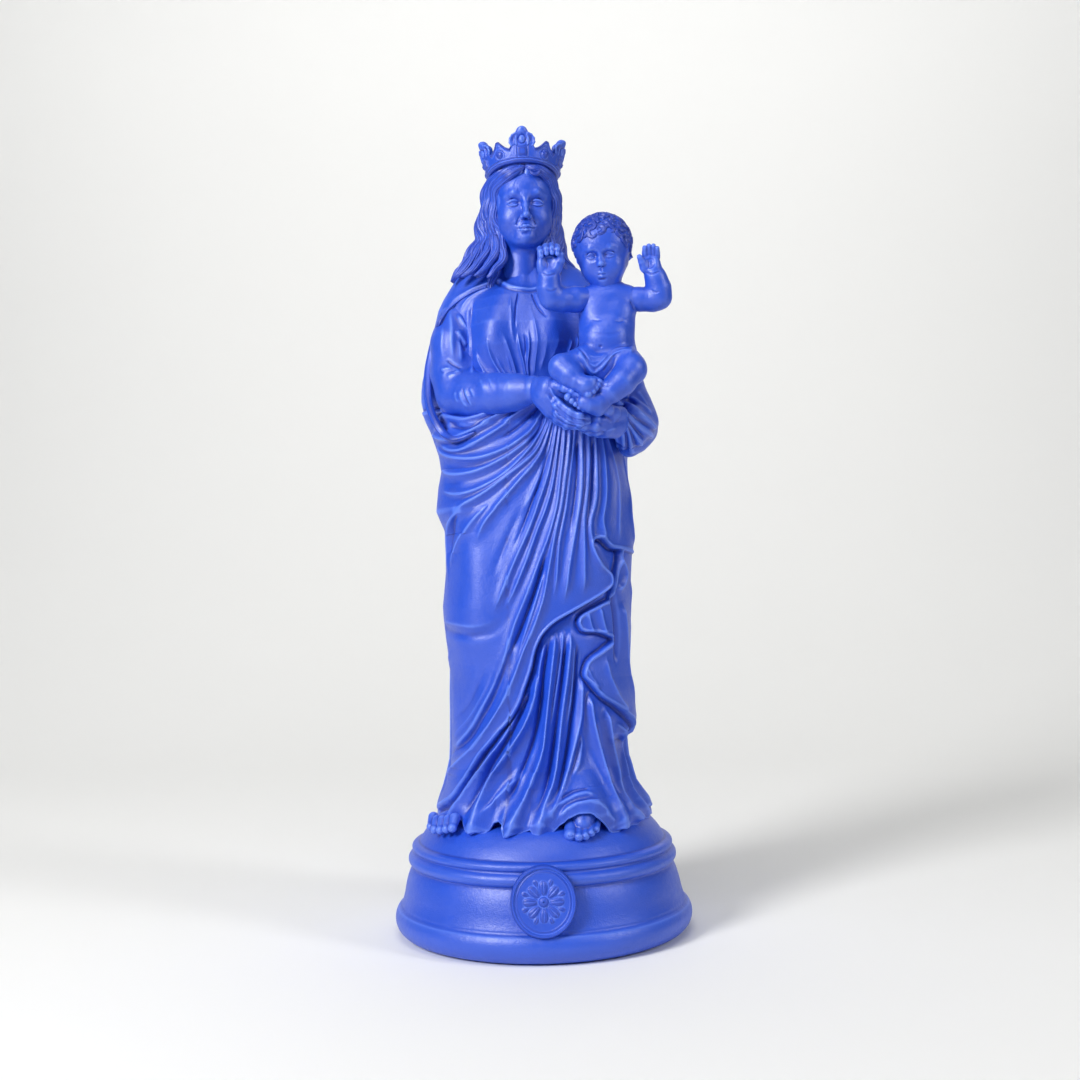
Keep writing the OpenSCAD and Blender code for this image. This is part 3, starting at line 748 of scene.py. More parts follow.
# z, left, right half-widths, centre's depth and half-depth of the mantle hanging behind the arms
BEHIND = np.array([
    (57.0, 50.0, 55.0, 14.0, 30.0), (64.0, 49.0, 54.5, 14.0, 29.0), (72.0, 46.0, 50.0, 13.0, 27.0),
    (84.0, 42.0, 45.0, 12.0, 25.0), (110.0, 40.0, 43.0, 10.0, 24.5), (160.0, 40.0, 43.0, 9.0, 24.0),
    (205.0, 43.0, 44.0, 8.0, 24.0), (236.0, 43.6, 45.0, 8.0, 23.0), (246.8, 48.2, 47.0, 7.0, 22.6),
    (252.0, 50.2, 48.0, 6.5, 22.4), (257.0, 52.6, 48.6, 6.0, 22.4), (262.0, 54.4, 49.0, 6.0, 22.4),
    (267.0, 55.3, 49.4, 6.5, 22.4), (272.0, 55.2, 49.6, 7.0, 22.4), (277.0, 54.6, 49.4, 7.0, 22.4),
    (287.0, 52.0, 48.4, 7.0, 22.0), (297.0, 49.2, 46.0, 7.0, 21.0), (307.4, 46.2, 43.0, 7.0, 20.0),
    (312.4, 44.8, 40.6, 7.0, 19.4), (317.5, 42.2, 37.0, 7.0, 18.6), (321.0, 40.0, 33.5, 7.0, 17.6),
    (324.0, 38.0, 30.5, 6.5, 16.0), (327.0, 36.2, 28.0, 6.5, 14.5), (330.0, 34.2, 25.2, 6.5, 13.0), (334.0, 30.5, 20.5, 6.5, 11.0),
    (339.0, 24.0, 15.0, 6.5, 8.0)])
U0 = 44.0                                                   # reference radius: surface coordinate U = U0 * angle from the front


def table_at(t, z):
    return [np.interp(z, t[:, 0], t[:, k]) for k in range(1, t.shape[1])]


def body_radius(th, z):
    """Radius of the undraped column at angle th (0 at +x, -pi/2 to the front) and height z."""
    c, s = np.cos(th), np.sin(th)
    L, R, Fr, Bk = table_at(COLUMN, z)
    L = L + np.interp(z, (68, 80, 126, 153), (0, -1.9, -1.9, 0))
    R = R + np.interp(z, (58, 65, 70, 80, 90, 100, 113, 120, 127, 136, 150), (-0.6, -2.4, -4.6, -3.8, -3.6, -2.2, -0.6, -0.6, -1.6, -1.6, 0))
    # the overfold's corner stands out above the narrower gown at the right
    R = R + np.interp(z, (84, 90, 96, 99.5, 106, 113, 120), (0, -0.5, -0.9, 4.6, 3.8, 1.4, 0.4)) * np.clip(c, 0, 1) ** 10
    a, b = np.where(c < 0, L, R), np.where(s < 0, Fr, Bk)
    n = 2.25
    r1 = (np.abs(c / a) ** n + np.abs(s / b) ** n) ** (-1 / n)
    L, R, y0, d = table_at(BEHIND, z)
    R = R + np.interp(z, (58, 65, 72, 80, 97, 125, 150), (-0.6, -2.2, -4.2, -3.8, -3.2, -2.0, 0))
    a = np.where(c < 0, L, R)
    A = (c / a) ** 2 + (s / d) ** 2
    B = -2 * s * y0 / d ** 2
    C = (y0 / d) ** 2 - 1
    r2 = (-B + np.sqrt(np.maximum(B * B - 4 * A * C, 0))) / (2 * A)
    k = 5.0
    h = np.clip(0.5 + 0.5 * (r1 - r2) / k, 0, 1)
    return r1 * h + r2 * (1 - h) + k * h * (1 - h)


def surface_point(U, z):
    th = np.asarray(U) / U0 - math.pi / 2
    r = body_radius(th, z)
    return r * np.cos(th), r * np.sin(th)


_gu = np.linspace(-math.pi / 2 * U0 * 0.98, math.pi / 2 * U0 * 0.98, 400)


def on_body(pts):
    """Frame coordinates (px, py, ...) on the front of the column to surface coordinates (U, z, ...)."""
    out = []
    for p in pts:
        px, py = p[0], p[1]
        U, z = 0.0, 200.0
        y = -35.0
        for _ in range(6):
            x, z = at_view(px, py, y)
            gx, gy = surface_point(_gu, float(z))
            i = int(np.argmin(np.abs(gx - float(x)) + 0.02 * np.abs(_gu)))
            U, y = _gu[i], gy[i]
        out.append((float(U), float(z)) + tuple(p[2:]))
    return np.array(out)


def build_body():
    q = 1.0
    nf, nb = int(430 / q), int(200 / q)
    uf = np.linspace(-70, 70, nf, endpoint=False)
    half = math.pi * U0
    ub = np.concatenate([np.linspace(70, half, nb // 2, endpoint=False), np.linspace(-half, -70, nb // 2, endpoint=False)])
    u = np.concatenate([uf, ub])
    nc = len(u)
    nr = int(590 / q)
    # the hem's own height round the figure
    front = on_body([(432, 808), (440, 809), (447.5, 811), (453, 814), (458, 811), (463, 814), (468.9, 829), (474, 834), (481.4, 832), (488.6, 825.4),
                     (494, 817), (498, 816), (502.5, 823), (505, 838), (510, 840), (517, 836), (524, 831), (530, 829), (534, 836), (539, 838.5), (545, 836.5),
                     (552.9, 829), (559, 820), (566, 814.5), (575, 811.5), (585, 812), (594, 815), (601, 819), (610, 827), (620.7, 830.7), (631.4, 827), (640, 824)])
    hem_u = np.concatenate([[-half, -120, -95, -80, -66], front[:, 0], [66, 74, 84, 96, 120, half]])
    hem_z = np.concatenate([[57.5, 57.5, 58.5, 57.5, 59.0], np.clip(front[:, 1], 54.5, 68), [56.5, 57.5, 57.0, 58.0, 57.5, 57.5]])
    order = np.argsort(hem_u)
    hem = np.interp(u, hem_u[order], hem_z[order])
    top = 339.0
    t = np.linspace(0, 1, nr)[:, None]
    t = t + 0.035 * np.sin(2 * math.pi * t) / (2 * math.pi) * 0
    Z = top + (hem[None, :] - top) * t
    U = np.broadcast_to(u[None, :], Z.shape)
    th = U / U0 - math.pi / 2
    r = body_radius(th, Z)
    base = np.stack([r * np.cos(th), r * np.sin(th), Z], -1).reshape(-1, 3)
    faces = grid_faces(nr, nc)[:, ::-1]
    nrm = vertex_normals(base, faces)
    nrm[:nc] = (0, 0, 1)
    a, b = U.ravel().astype(float), Z.ravel()
    low = sm(175, 60, b)                                   # grows towards the hem

    # ---- regions, as outlines in surface coordinates
    edge_pts = [(609, 579), (607, 587), (594, 598), (579, 607.5), (562.6, 617.4), (552, 624.4), (544.4, 632.4), (539.4, 640.7), (535.5, 652), (532, 667),
                (528.5, 680), (525, 690), (521.5, 701), (517, 711), (510, 722), (502, 732), (494, 742.5), (486, 753), (477, 767), (467, 784), (455, 797), (443, 806), (431, 812)]
    edge = spline(on_body(edge_pts), 1.0)
    curl_pts = [(632, 554.5), (619, 550), (609, 548), (604, 543.6), (599, 539.2), (593, 539.5), (590.3, 542.5), (590.2, 547), (595.8, 559), (603, 567.5), (607.4, 572.7), (609, 579)]
    curl = spline(on_body(curl_pts), 0.8)
    mantle_poly = np.vstack([edge[::-1][:, :2][::-1], [(-75, 60), (-138, 58), (-138, 262), (70, 262), (76, 176)], curl[:, :2]])
    # hanging zigzag at the left hip: the outline of one flap
    flap1 = on_body([(607, 599), (594, 606.5), (580.9, 614), (577, 620.5), (578.6, 627), (583.3, 631.8), (595.8, 632.4), (604, 634.9), (610.5, 639.5),
                     (600.8, 649), (590.8, 656.5), (584.5, 664), (582.3, 675.4), (588.6, 684.3), (599.3, 696.8), (611.8, 705.7), (624.3, 716.4), (633.2, 727), (639.2, 735)])
    flap1 = spline(flap1, 0.8)
    fall_poly = np.vstack([flap1[:, :2], [(72, 98), (138, 98), (138, 262), (60, 262), (50, 190)]])
    tube_pts = on_body([(612.4, 554.4), (617.5, 560), (621, 570), (621, 578), (617, 586), (612, 591), (607.5, 588), (609.5, 580), (611.5, 574), (611, 564)])

    def signed(poly):
        line = np.vstack([poly, poly[:1]])
        idx, d, _, _ = near(a, b, line, 9.0)
        ins = inside(a, b, poly)
        sd = np.where(ins, -9.0, 9.0)
        sd[idx] = np.where(ins[idx], -d, d)
        return sd

    # ---- gown
    G = Relief(a, b)
    B = on_body

    def crest(rel, pts, **kw):
        rel.crest(spline(B(pts), 1.6), **kw)

    def groove(rel, pts, **kw):
        rel.groove(spline(B(pts), 1.6), **kw)

    crest(G, [(570.7, 627), (568, 655), (565.4, 679), (561, 712), (557, 750), (552.9, 780), (544, 808), (537, 838)], amp=3.6, left=1.9, right=1.6, ends=(0.1, 0.0))
    crest(G, [(563.5, 628), (560, 660), (556, 690), (551.5, 720), (547.5, 745)], amp=1.9, left=1.2, ends=(0.1, 0.35))
    crest(G, [(556, 630), (552, 660), (549, 690), (545.7, 722), (542, 752), (533.2, 781), (520.7, 812), (508, 838)], amp=4.2, left=2.2, right=1.9, ends=(0.1, 0.0))
    crest(G, [(545, 640), (540, 665), (536.5, 690), (528, 716), (519, 738)], amp=2.2, left=1.2, ends=(0.15, 0.35))
    crest(G, [(538, 668), (534, 700), (524.3, 727), (510, 752), (495, 777), (483, 803), (474, 832)], amp=4.0, left=2.0, right=2.2, ends=(0.12, 0.0))
    crest(G, [(526, 764), (517, 780), (505, 790), (490, 806), (476, 826)], amp=1.6, left=1.5, ends=(0.2, 0.1))
    crest(G, [(522, 705), (507, 735), (492, 757), (476, 780), (462, 800), (452, 812)], amp=3.0, left=1.9, ends=(0.2, 0.0))
    crest(G, [(581.4, 672), (580.5, 695), (578.5, 720), (573, 745), (566, 772), (556, 800), (545, 829)], amp=2.6, left=1.7, right=2.3, ends=(0.12, 0.1))
    crest(G, [(587, 690), (590, 720), (597, 755.7), (606, 789.6), (614, 808), (622, 829)], amp=3.6, left=2.2, right=1.9, ends=(0.12, 0.0))
    crest(G, [(603, 705), (606, 730), (611, 765), (620, 795), (631, 812), (640, 822)], amp=3.2, left=2.0, right=1.7, ends=(0.12, 0.0))
    crest(G, [(615, 722), (619, 750), (625, 780), (636, 800), (646, 816)], amp=2.6, left=1.6, ends=(0.12, 0.0))
    crest(G, [(575, 640), (573, 670), (570, 700), (565, 735)], amp=1.7, left=1.2, ends=(0.15, 0.4))
    crest(G, [(582, 730), (578, 760), (568, 785)], amp=1.5, left=1.6, ends=(0.3, 0.4))
    groove(G, [(551, 635), (545, 665), (541, 700), (535, 735), (523, 768), (505, 805)], amp=1.8, w=1.3, ends=(0.1, 0.1))
    groove(G, [(566, 640), (561, 690), (555, 740), (546, 790), (533, 825)], amp=1.9, w=1.2, ends=(0.1, 0.1))
    groove(G, [(577, 640), (575, 680), (572, 715), (567, 750), (560, 785), (549, 815)], amp=1.9, w=1.2, ends=(0.1, 0.15))
    groove(G, [(594, 720), (600, 755), (607, 780)], amp=1.2, w=1.2)
    groove(G, [(531, 690), (514, 728), (494, 762), (478, 790), (463, 815)], amp=1.9, w=1.3, ends=(0.1, 0.1))
    # the instep under the cloth and the creases over it
    for (px, py, sa, sb, amp) in ((586, 793, 9.0, 11.0, 3.4), (584, 809, 11.0, 6.0, 3.6)):
        c = B([(px, py)])[0]
        G.bump(c[0], c[1], sa, sb, amp)
    crest(G, [(551, 812), (559, 803), (569, 797), (580, 794), (590, 797)], amp=1.5, left=1.0, ends=(0.3, 0.3))
    crest(G, [(556, 819), (564, 809), (575, 804), (588, 805), (600, 811), (612, 822)], amp=1.3, left=1.0, ends=(0.2, 0.2))
    groove(G, [(560, 799), (570, 792.5), (585, 790)], amp=0.8, w=0.8)

    # ---- mantle
    M = Relief(a, b)
    knee = B([(480, 585)])[0]
    M.bump(knee[0], knee[1], 13.0, 38.0, 5.2, turn=0.08)
    knee = B([(474, 622)])[0]
    M.bump(knee[0], knee[1], 13.0, 15.0, 2.4)
    hip = B([(520, 520)])[0]
    M.bump(hip[0], hip[1], 10.0, 26.0, 1.6, turn=-0.25)
    # swags gathered at the wrist
    crest(M, [(516, 404.5), (505, 409.5), (497, 413), (487, 417.5), (477, 421), (468, 423), (459, 421.5), (448, 419), (441, 415.5)], amp=2.6, left=1.1, right=1.5, ends=(0.15, 0.08))
    crest(M, [(538, 401.5), (527.5, 403.5), (515.8, 409), (505, 415), (491.7, 422.5), (475, 431.7), (462.5, 437.5), (452.5, 440), (442, 433.5), (434, 424)], amp=3.6, left=1.6, right=2.4, ends=(0.1, 0.14))
    crest(M, [(543, 402.5), (535.8, 405), (527.5, 409.5), (515.8, 418), (505, 427), (491.7, 436.5), (480, 443.6), (466, 450), (455, 449), (444, 441)], amp=3.3, left=1.5, right=2.2, ends=(0.1, 0.2))
    crest(M, [(547, 405), (538, 422), (526, 437), (504, 451.5), (479, 459), (455, 455), (440, 440)], amp=3.6, left=1.9, right=2.4, ends=(0.1, 0.3))
    crest(M, [(548, 408), (538, 430), (526, 444), (501, 462), (475, 474), (455, 475), (443, 463)], amp=3.0, left=1.7, right=2.1, ends=(0.1, 0.3))
    crest(M, [(549, 410), (540, 434), (530, 450), (510, 471), (489, 486), (466, 495), (447, 491)], amp=2.8, left=1.7, right=2.1, ends=(0.1, 0.15))
    crest(M, [(484, 444), (472, 449), (462, 449.5)], amp=1.0, left=0.9, ends=(0.4, 0.3))
    crest(M, [(551, 412), (542, 440), (533, 456), (512, 474), (487, 494), (464, 511), (456.5, 531), (455.5, 562), (456.5, 590)], amp=3.2, left=1.6, right=2.2, ends=(0.08, 0.3))
    crest(M, [(500, 497), (483, 514), (470, 536), (461, 556), (457.5, 571)], amp=2.0, left=1.5, right=1.9, ends=(0.3, 0.2))
    crest(M, [(552, 414), (545, 444), (536, 462), (518, 484), (501, 505), (487.5, 526), (482, 548)], amp=3.2, left=1.5, right=2.6, ends=(0.08, 0.2))
    crest(M, [(554, 415), (549, 445), (542, 470), (530, 498), (519, 520)], amp=2.0, left=1.4, ends=(0.08, 0.4))
    crest(M, [(556, 416), (552, 448), (547, 475), (538, 505), (528, 533), (516, 562), (505, 592), (495, 618)], amp=3.0, left=1.5, right=2.4, ends=(0.08, 0.15))
    crest(M, [(559, 417), (556, 450), (552, 480), (546, 506), (536, 534), (524, 568), (514, 594), (503, 612)], amp=2.9, left=1.3, right=2.0, ends=(0.08, 0.18))
    crest(M, [(562, 417), (561, 450), (558.5, 480), (555.5, 505), (548, 535), (539, 562), (528, 592), (517, 622), (511, 645), (503, 672), (492, 700), (476, 730), (460, 752), (450, 764)], amp=3.3, left=1.7, right=2.4, ends=(0.05, 0.16))
    crest(M, [(567, 418), (566, 450), (562.5, 481), (559.5, 506), (554, 534), (548.5, 566), (543, 598), (534, 626), (524, 652), (515, 680), (504, 706), (485, 738), (466, 762), (450, 782)], amp=3.3, left=2.0, right=2.2, ends=(0.05, 0.08))
    crest(M, [(572, 420), (570, 450), (567, 480), (564, 510), (558, 545), (555, 580), (552, 605)], amp=2.4, left=1.3, ends=(0.05, 0.2))
    crest(M, [(577, 424), (578, 450), (578, 490), (573, 530), (568, 560), (565, 588), (562, 606)], amp=2.7, left=1.4, right=1.9, ends=(0.05, 0.15))
    crest(M, [(582, 426), (584.5, 455), (584, 490), (580.5, 520), (581, 556), (581.5, 596)], amp=2.6, left=1.4, right=1.7, ends=(0.05, 0.12))
    crest(M, [(588, 430), (591, 455), (592, 495), (587, 522), (588, 540), (592, 556), (602, 574)], amp=2.6, left=1.3, right=1.3, ends=(0.05, 0.12))
    crest(M, [(594, 432), (598, 460), (601, 495), (598, 520), (601, 536), (604, 542)], amp=2.6, left=1.4, right=2.0, ends=(0.05, 0.1))
    crest(M, [(600, 436), (606, 458), (611, 480), (613, 505), (613, 530), (616, 548)], amp=2.0, left=1.5, ends=(0.05, 0.2))
    crest(M, [(608, 440), (617, 462), (621, 485), (623, 510), (626, 535), (629, 552)], amp=2.0, left=1.5, ends=(0.1, 0.15))
    crest(M, [(551, 545), (544, 570), (537, 596), (529, 622), (521, 650), (513, 680)], amp=1.8, left=1.4, ends=(0.3, 0.3))
    crest(M, [(472, 740), (464, 748), (457, 753)], amp=0.8, left=1.4, ends=(0.4, 0.5))
    crest(M, [(463, 640), (456, 665), (452, 700)], amp=0.9, left=2.0, ends=(0.4, 0.4))
    groove(M, [(545, 548), (540, 572), (533, 596), (524, 622), (514, 646), (506, 668)], amp=2.4, w=1.5, ends=(0.2, 0.3))
    # the cloth draws in below the knee and falls on in soft slanting folds
    groove(M, [(450, 627), (466, 631), (482, 633), (496, 630), (507, 618), (514, 602)], amp=1.7, w=2.8, ends=(0.12, 0.45))
    crest(M, [(451, 619), (467, 623.5), (482, 625.5), (494, 621.5), (503, 611)], amp=0.9, left=3.0, ends=(0.15, 0.45))
    crest(M, [(502, 648), (491, 686), (474, 718), (458, 742)], amp=1.4, left=3.0, right=2.4, ends=(0.45, 0.4))
    groove(M, [(494, 650), (484, 682), (470, 708), (456, 728)], amp=1.0, w=2.2, ends=(0.45, 0.4))
    groove(M, [(513, 640), (508, 662), (500, 688), (488, 714), (470, 742), (455, 757)], amp=2.1, w=1.7, ends=(0.2, 0.2))
    groove(M, [(523, 506), (513, 530), (503, 556), (495, 580)], amp=0.9, w=1.8, ends=(0.4, 0.4))
    groove(M, [(530, 401), (515, 402), (500, 405.5), (488, 410.5), (475, 415.5), (460, 416.5), (447, 413)], amp=2.4, w=1.3, ends=(0.1, 0.2))
    groove(M, [(446, 421), (449, 428), (454, 432.5)], amp=2.2, w=1.5, ends=(0.1, 0.3))
    groove(M, [(452, 424.5), (468, 429.5), (480, 426), (492, 419.5), (505, 412.5)], amp=1.6, w=1.1, ends=(0.2, 0.2))
    groove(M, [(546, 407), (543, 420), (537, 434), (527, 446)], amp=1.8, w=1.0, ends=(0.1, 0.3))
    groove(M, [(541, 407), (530, 418), (516, 430), (500, 440.5)], amp=1.5, w=0.9, ends=(0.1, 0.3))
    groove(M, [(471, 500), (463, 516), (459, 540), (458, 558)], amp=1.6, w=1.2, ends=(0.3, 0.3))
    groove(M, [(574, 440), (574.5, 470), (572, 505), (566, 540)], amp=1.3, w=0.9, ends=(0.1, 0.3))
    groove(M, [(588, 440), (588.5, 480), (584, 515)], amp=1.3, w=0.8, ends=(0.1, 0.3))
    groove(M, [(548, 450), (540, 480), (528, 515), (515, 550)], amp=1.4, w=1.0, ends=(0.1, 0.35))
    pocket = B([(457, 491)])[0]
    M.bump(pocket[0], pocket[1], 5.0, 5.0, -1.6)

    # ---- the fall at the left hip
    F = Relief(a, b)
    crest(F, [(586, 612), (589, 626), (592, 633)], amp=1.4, left=1.2, ends=(0.2, 0.1))
    crest(F, [(597, 606), (600, 622), (603, 634)], amp=1.6, left=1.2, ends=(0.2, 0.1))
    crest(F, [(584, 664), (588, 676), (596, 690)], amp=1.2, left=1.4, ends=(0.3, 0.2))
    crest(F, [(603, 652), (604, 672), (612, 695), (622, 712)], amp=1.8, left=1.6, ends=(0.25, 0.1))
    crest(F, [(617, 600), (619, 640), (622, 680), (630, 712), (637, 730)], amp=2.6, left=1.9, right=2.4, ends=(0.1, 0.1))
    crest(F, [(625, 575), (626, 620), (629, 665), (634, 705)], amp=1.6, left=1.6, ends=(0.15, 0.2))
    groove(F, [(608, 592), (610.5, 612), (612, 632), (611.5, 652), (610, 668)], amp=2.6, w=1.5, ends=(0.1, 0.25))
    crest(F, [(613.5, 556), (618, 564), (620, 574), (617.5, 584), (611.5, 591)], amp=2.8, left=1.7, ends=(0.2, 0.15))

    # ---- chest: pleats from the neckline
    C = Relief(a, b)
    for (px, py, sa, sb, amp) in ((491, 333, 11.5, 12.5, 3.6), (549, 333, 11.5, 12.5, 3.6)):
        c = B([(px, py)])[0]
        C.bump(c[0], c[1], sa, sb, amp)
    crest(C, [(478, 350), (481.7, 363), (487, 376)], amp=0.9, left=0.7, right=1.6, ends=(0.35, 0.1))
    crest(C, [(490.5, 334), (491.7, 352), (496, 365), (503, 377)], amp=1.1, left=0.8, right=1.8, ends=(0.5, 0.1))
    crest(C, [(496.5, 355), (501, 366), (507, 377)], amp=0.6, left=0.7, ends=(0.4, 0.1))
    crest(C, [(502, 330), (506.6, 341.7), (511, 354), (515, 368), (517, 378)], amp=1.2, left=1.0, right=1.9, ends=(0.5, 0.1))
    crest(C, [(506, 350), (509.5, 364), (513, 377)], amp=0.6, left=0.7, ends=(0.4, 0.1))
    crest(C, [(511, 294), (511.5, 312), (513, 334), (518, 352)], amp=0.6, left=1.6, ends=(0.2, 0.4))
    groove(C, [(518.5, 292), (516, 306), (515.3, 318), (516, 330)], amp=0.9, w=0.7, ends=(0.1, 0.4))
    crest(C, [(517.5, 330), (520.5, 350), (524, 364), (526.5, 378)], amp=1.3, left=0.9, right=1.4, ends=(0.4, 0.1))
    groove(C, [(524.5, 332), (526, 345), (525.5, 358)], amp=0.8, w=0.8, ends=(0.4, 0.3))
    crest(C, [(528, 328), (529.2, 346), (527.5, 364), (529, 378)], amp=1.2, left=0.8, right=1.6, ends=(0.4, 0.1))
    crest(C, [(528.5, 300), (534, 320), (537, 340), (535.5, 360), (533.5, 378)], amp=0.8, left=1.8, ends=(0.4, 0.1))
    groove(C, [(531.6, 293), (538, 308), (548, 322)], amp=1.0, w=0.9, ends=(0.1, 0.35))
    crest(C, [(534.5, 292), (542, 306), (552, 318)], amp=0.5, left=1.3, ends=(0.15, 0.4))
    crest(C, [(546, 334), (545, 352), (540, 372)], amp=0.6, left=1.8, ends=(0.5, 0.2))
    crest(C, [(557, 330), (555.5, 346), (549, 364)], amp=0.6, left=2.2, ends=(0.5, 0.3))
    crest(C, [(571.5, 339), (569, 348), (566, 356)], amp=0.9, left=0.8, ends=(0.3, 0.3))
    crest(C, [(577, 335), (576.5, 345), (573, 354)], amp=0.9, left=0.9, ends=(0.3, 0.3))
    groove(C, [(474, 300), (470, 322), (471.5, 343), (471.5, 372)], amp=1.5, w=1.4, ends=(0.2, 0.05))
    crest(C, [(497, 281), (485, 285), (470, 291), (452, 302), (441, 316)], amp=0.9, left=0.9, right=1.5, ends=(0.1, 0.2))
    crest(C, [(495, 286), (480, 292), (466, 302), (459, 318)], amp=0.6, left=0.9, ends=(0.2, 0.3))
    collar = B([(495, 279), (505, 285.5), (520, 289.5), (535, 289), (545, 284)])
    C.crest(spline(collar, 0.8), amp=1.1, left=0.6, e=0.5, ends=(0.05, 0.05))
    C.groove(spline(collar - np.array([0, 1.3]), 0.8), amp=0.5, w=0.5, ends=(0.05, 0.05))

    # ---- sides and back, in surface coordinates: long falls of the mantle from the shoulders
    K = Relief(a, b)
    for (u1, z1, u2, z2, u3, z3, amp, wl, wr) in (
            (-138, 300, -136, 200, -137, 58, 3.0, 2.6, 2.6), (-122, 306, -120, 220, -121, 58, 3.2, 2.4, 3.0), (-108, 306, -104, 200, -104, 58, 2.8, 2.2, 2.8),
            (-96, 300, -90, 190, -88, 58, 2.8, 2.6, 2.2), (-130, 240, -129, 150, -130, 58, 2.0, 2.0, 2.0), (-113, 200, -112, 130, -113, 58, 1.8, 2.0, 2.0),
            (138, 300, 139, 200, 138, 58, 3.0, 2.6, 2.6), (126, 306, 122, 210, 124, 58, 3.0, 3.0, 2.2), (112, 306, 107, 200, 108, 58, 3.0, 2.8, 2.2),
            (98, 300, 92, 200, 92, 58, 2.8, 2.4, 2.4), (82, 290, 78, 190, 77, 60, 2.4, 2.0, 2.4), (131, 220, 131, 140, 131, 58, 1.8, 2.0, 2.0),
            (115, 190, 116, 120, 117, 58, 1.8, 2.0, 2.0), (100, 170, 100, 110, 101, 58, 1.6, 2.0, 2.0), (-82, 250, -79, 160, -80, 62, 2.0, 2.2, 2.2)):
        K.crest(spline(np.array([(u1, z1), (u2, z2), (u3, z3)]), 2.0), amp=amp, left=wl, right=wr, e=0.6, ends=(0.22, 0.0), reach=3.6)
    for (u1, z1, u2, z2, amp, w_) in ((-129, 290, -126, 60, 1.4, 2.6), (-101, 280, -96, 60, 1.4, 2.4), (132, 290, 132, 60, 1.4, 2.4), (118, 290, 113, 60, 1.4, 2.4), (104, 280, 99, 60, 1.3, 2.2)):
        K.groove(spline(np.array([(u1, z1), ((u1 + u2) / 2 + 1.5, (z1 + z2) / 2), (u2, z2)]), 2.0), amp=amp, w=w_, ends=(0.2, 0.05))
    side = sm(58, 80, np.abs(a))

    # ---- put the layers together
    sd_m, sd_f = signed(mantle_poly), signed(fall_poly)
    in_m, in_f = sm(0.35, -0.35, sd_m), sm(0.35, -0.35, sd_f)
    hem_roll_m = 0.7 * np.exp(-((sd_m + 0.9) / 0.7) ** 2)
    hem_roll_f = 0.6 * np.exp(-((sd_f + 0.8) / 0.6) ** 2)
    gh = G.height() * (1 + 0.5 * low)
    under = -2.2 * np.exp(-np.clip(sd_m, 0, 9) / 1.5) - 1.7 * np.exp(-np.clip(sd_f, 0, 9) / 1.3)
    mh = 3.1 + 0.85 * M.height() + hem_roll_m
    # the flap thins out towards the hem's lower end
    fh = 2.4 + 1.2 * sm(170, 110, b) * sm(20, 50, a) + 0.85 * F.height() + hem_roll_f
    ch = 0.4 + C.height()
    kh = K.height() * (1 + 0.25 * low)
    chest = sm(265, 269, b) * (1 - side)
    H = gh + under
    H = H * (1 - in_f) + fh * in_f
    H = H * (1 - in_m) + mh * in_m
    H = H * (1 - chest) + ch * chest
    H = H * (1 - side) + (1.6 + kh) * side
    # broad unevenness so that nothing is ruler-straight
    H = H + 0.35 * np.sin(a / 9.0 + b / 31.0) * np.sin(b / 17.0 + 1.3) + 0.18 * np.sin(a / 3.7 + b / 11.0)
    H = H * sm(338, 330, b)
    # crests grow broad and round towards the hem
    Hg = H.reshape(nr, nc)
    step = float(np.mean(np.abs(np.diff(np.unwrap(th.reshape(nr, nc)[-1]))))) * 52.0
    freq = np.fft.rfftfreq(nc)
    soft = np.fft.irfft(np.fft.rfft(Hg, axis=1) * np.exp(-0.5 * (2 * math.pi * freq * 3.0 / step) ** 2), n=nc, axis=1)
    wl = sm(84, 60, Z)
    H = (Hg * (1 - wl) + soft * wl).ravel()
    v = base + nrm * H[:, None]
    # flare: near the hem the crests run outwards
    out = np.stack([np.cos(th.ravel()), np.sin(th.ravel())], 1)
    v[:, :2] += out * (0.34 * sm(74, 57, b) * np.clip(H - 1.2, -1, 3))[:, None]
    # the hem settles on the dome of the plinth
    rr = np.hypot(v[:, 0], v[:, 1])
    dome = np.interp(rr, (38.0, 44.0, 48.5, 52.0, 54.8, 57.0, 58.8, 60.2), (59.6, 59.2, 58.4, 57.0, 54.9, 52.6, 50.4, 48.3))
    settle = sm(88, 58, b) ** 1.5
    lift = np.clip((dome + 0.5).reshape(nr, nc)[-1] - hem, -3.2, 2.2)
    lift = np.fft.irfft(np.fft.rfft(lift) * np.exp(-0.5 * (2 * math.pi * freq * 4.2 / step) ** 2), n=nc)
    v[:, 2] += lift[np.tile(np.arange(nc), nr)] * settle
    v = v.reshape(nr, nc, 3)
    # rounded hem, a hollow behind it, then down into the plinth
    last = v[-1]
    rad = last[:, :2] / np.linalg.norm(last[:, :2], axis=1, keepdims=True)
    rows = []
    for dr, dz in ((0.15, -0.5), (-0.25, -0.95), (-0.9, -1.0), (-1.4, -0.4), (-1.8, 1.2), (-3.2, 3.2), (-6.5, 4.6)):
        p = last.copy()
        p[:, :2] += rad * dr
        p[:, 2] += dz
        rows.append(p)
    inner = last.copy()
    inner[:, :2] -= rad * 8.0
    inner[:, 2] = 56.0
    rows.append(inner)
    allv = np.concatenate([v, np.array(rows)]).reshape(-1, 3)
    m = nr + len(rows)
    quads = grid_faces(m, nc)[:, ::-1]
    # top cap inside the neck
    cap = np.stack([np.zeros(nc - 2, int), np.arange(1, nc - 1), np.arange(2, nc)], 1)
    return allv, [quads, cap]


BV, BF = build_body()
mesh_obj("gown_and_mantle", BV, BF, BLUE, ["mother_body"])


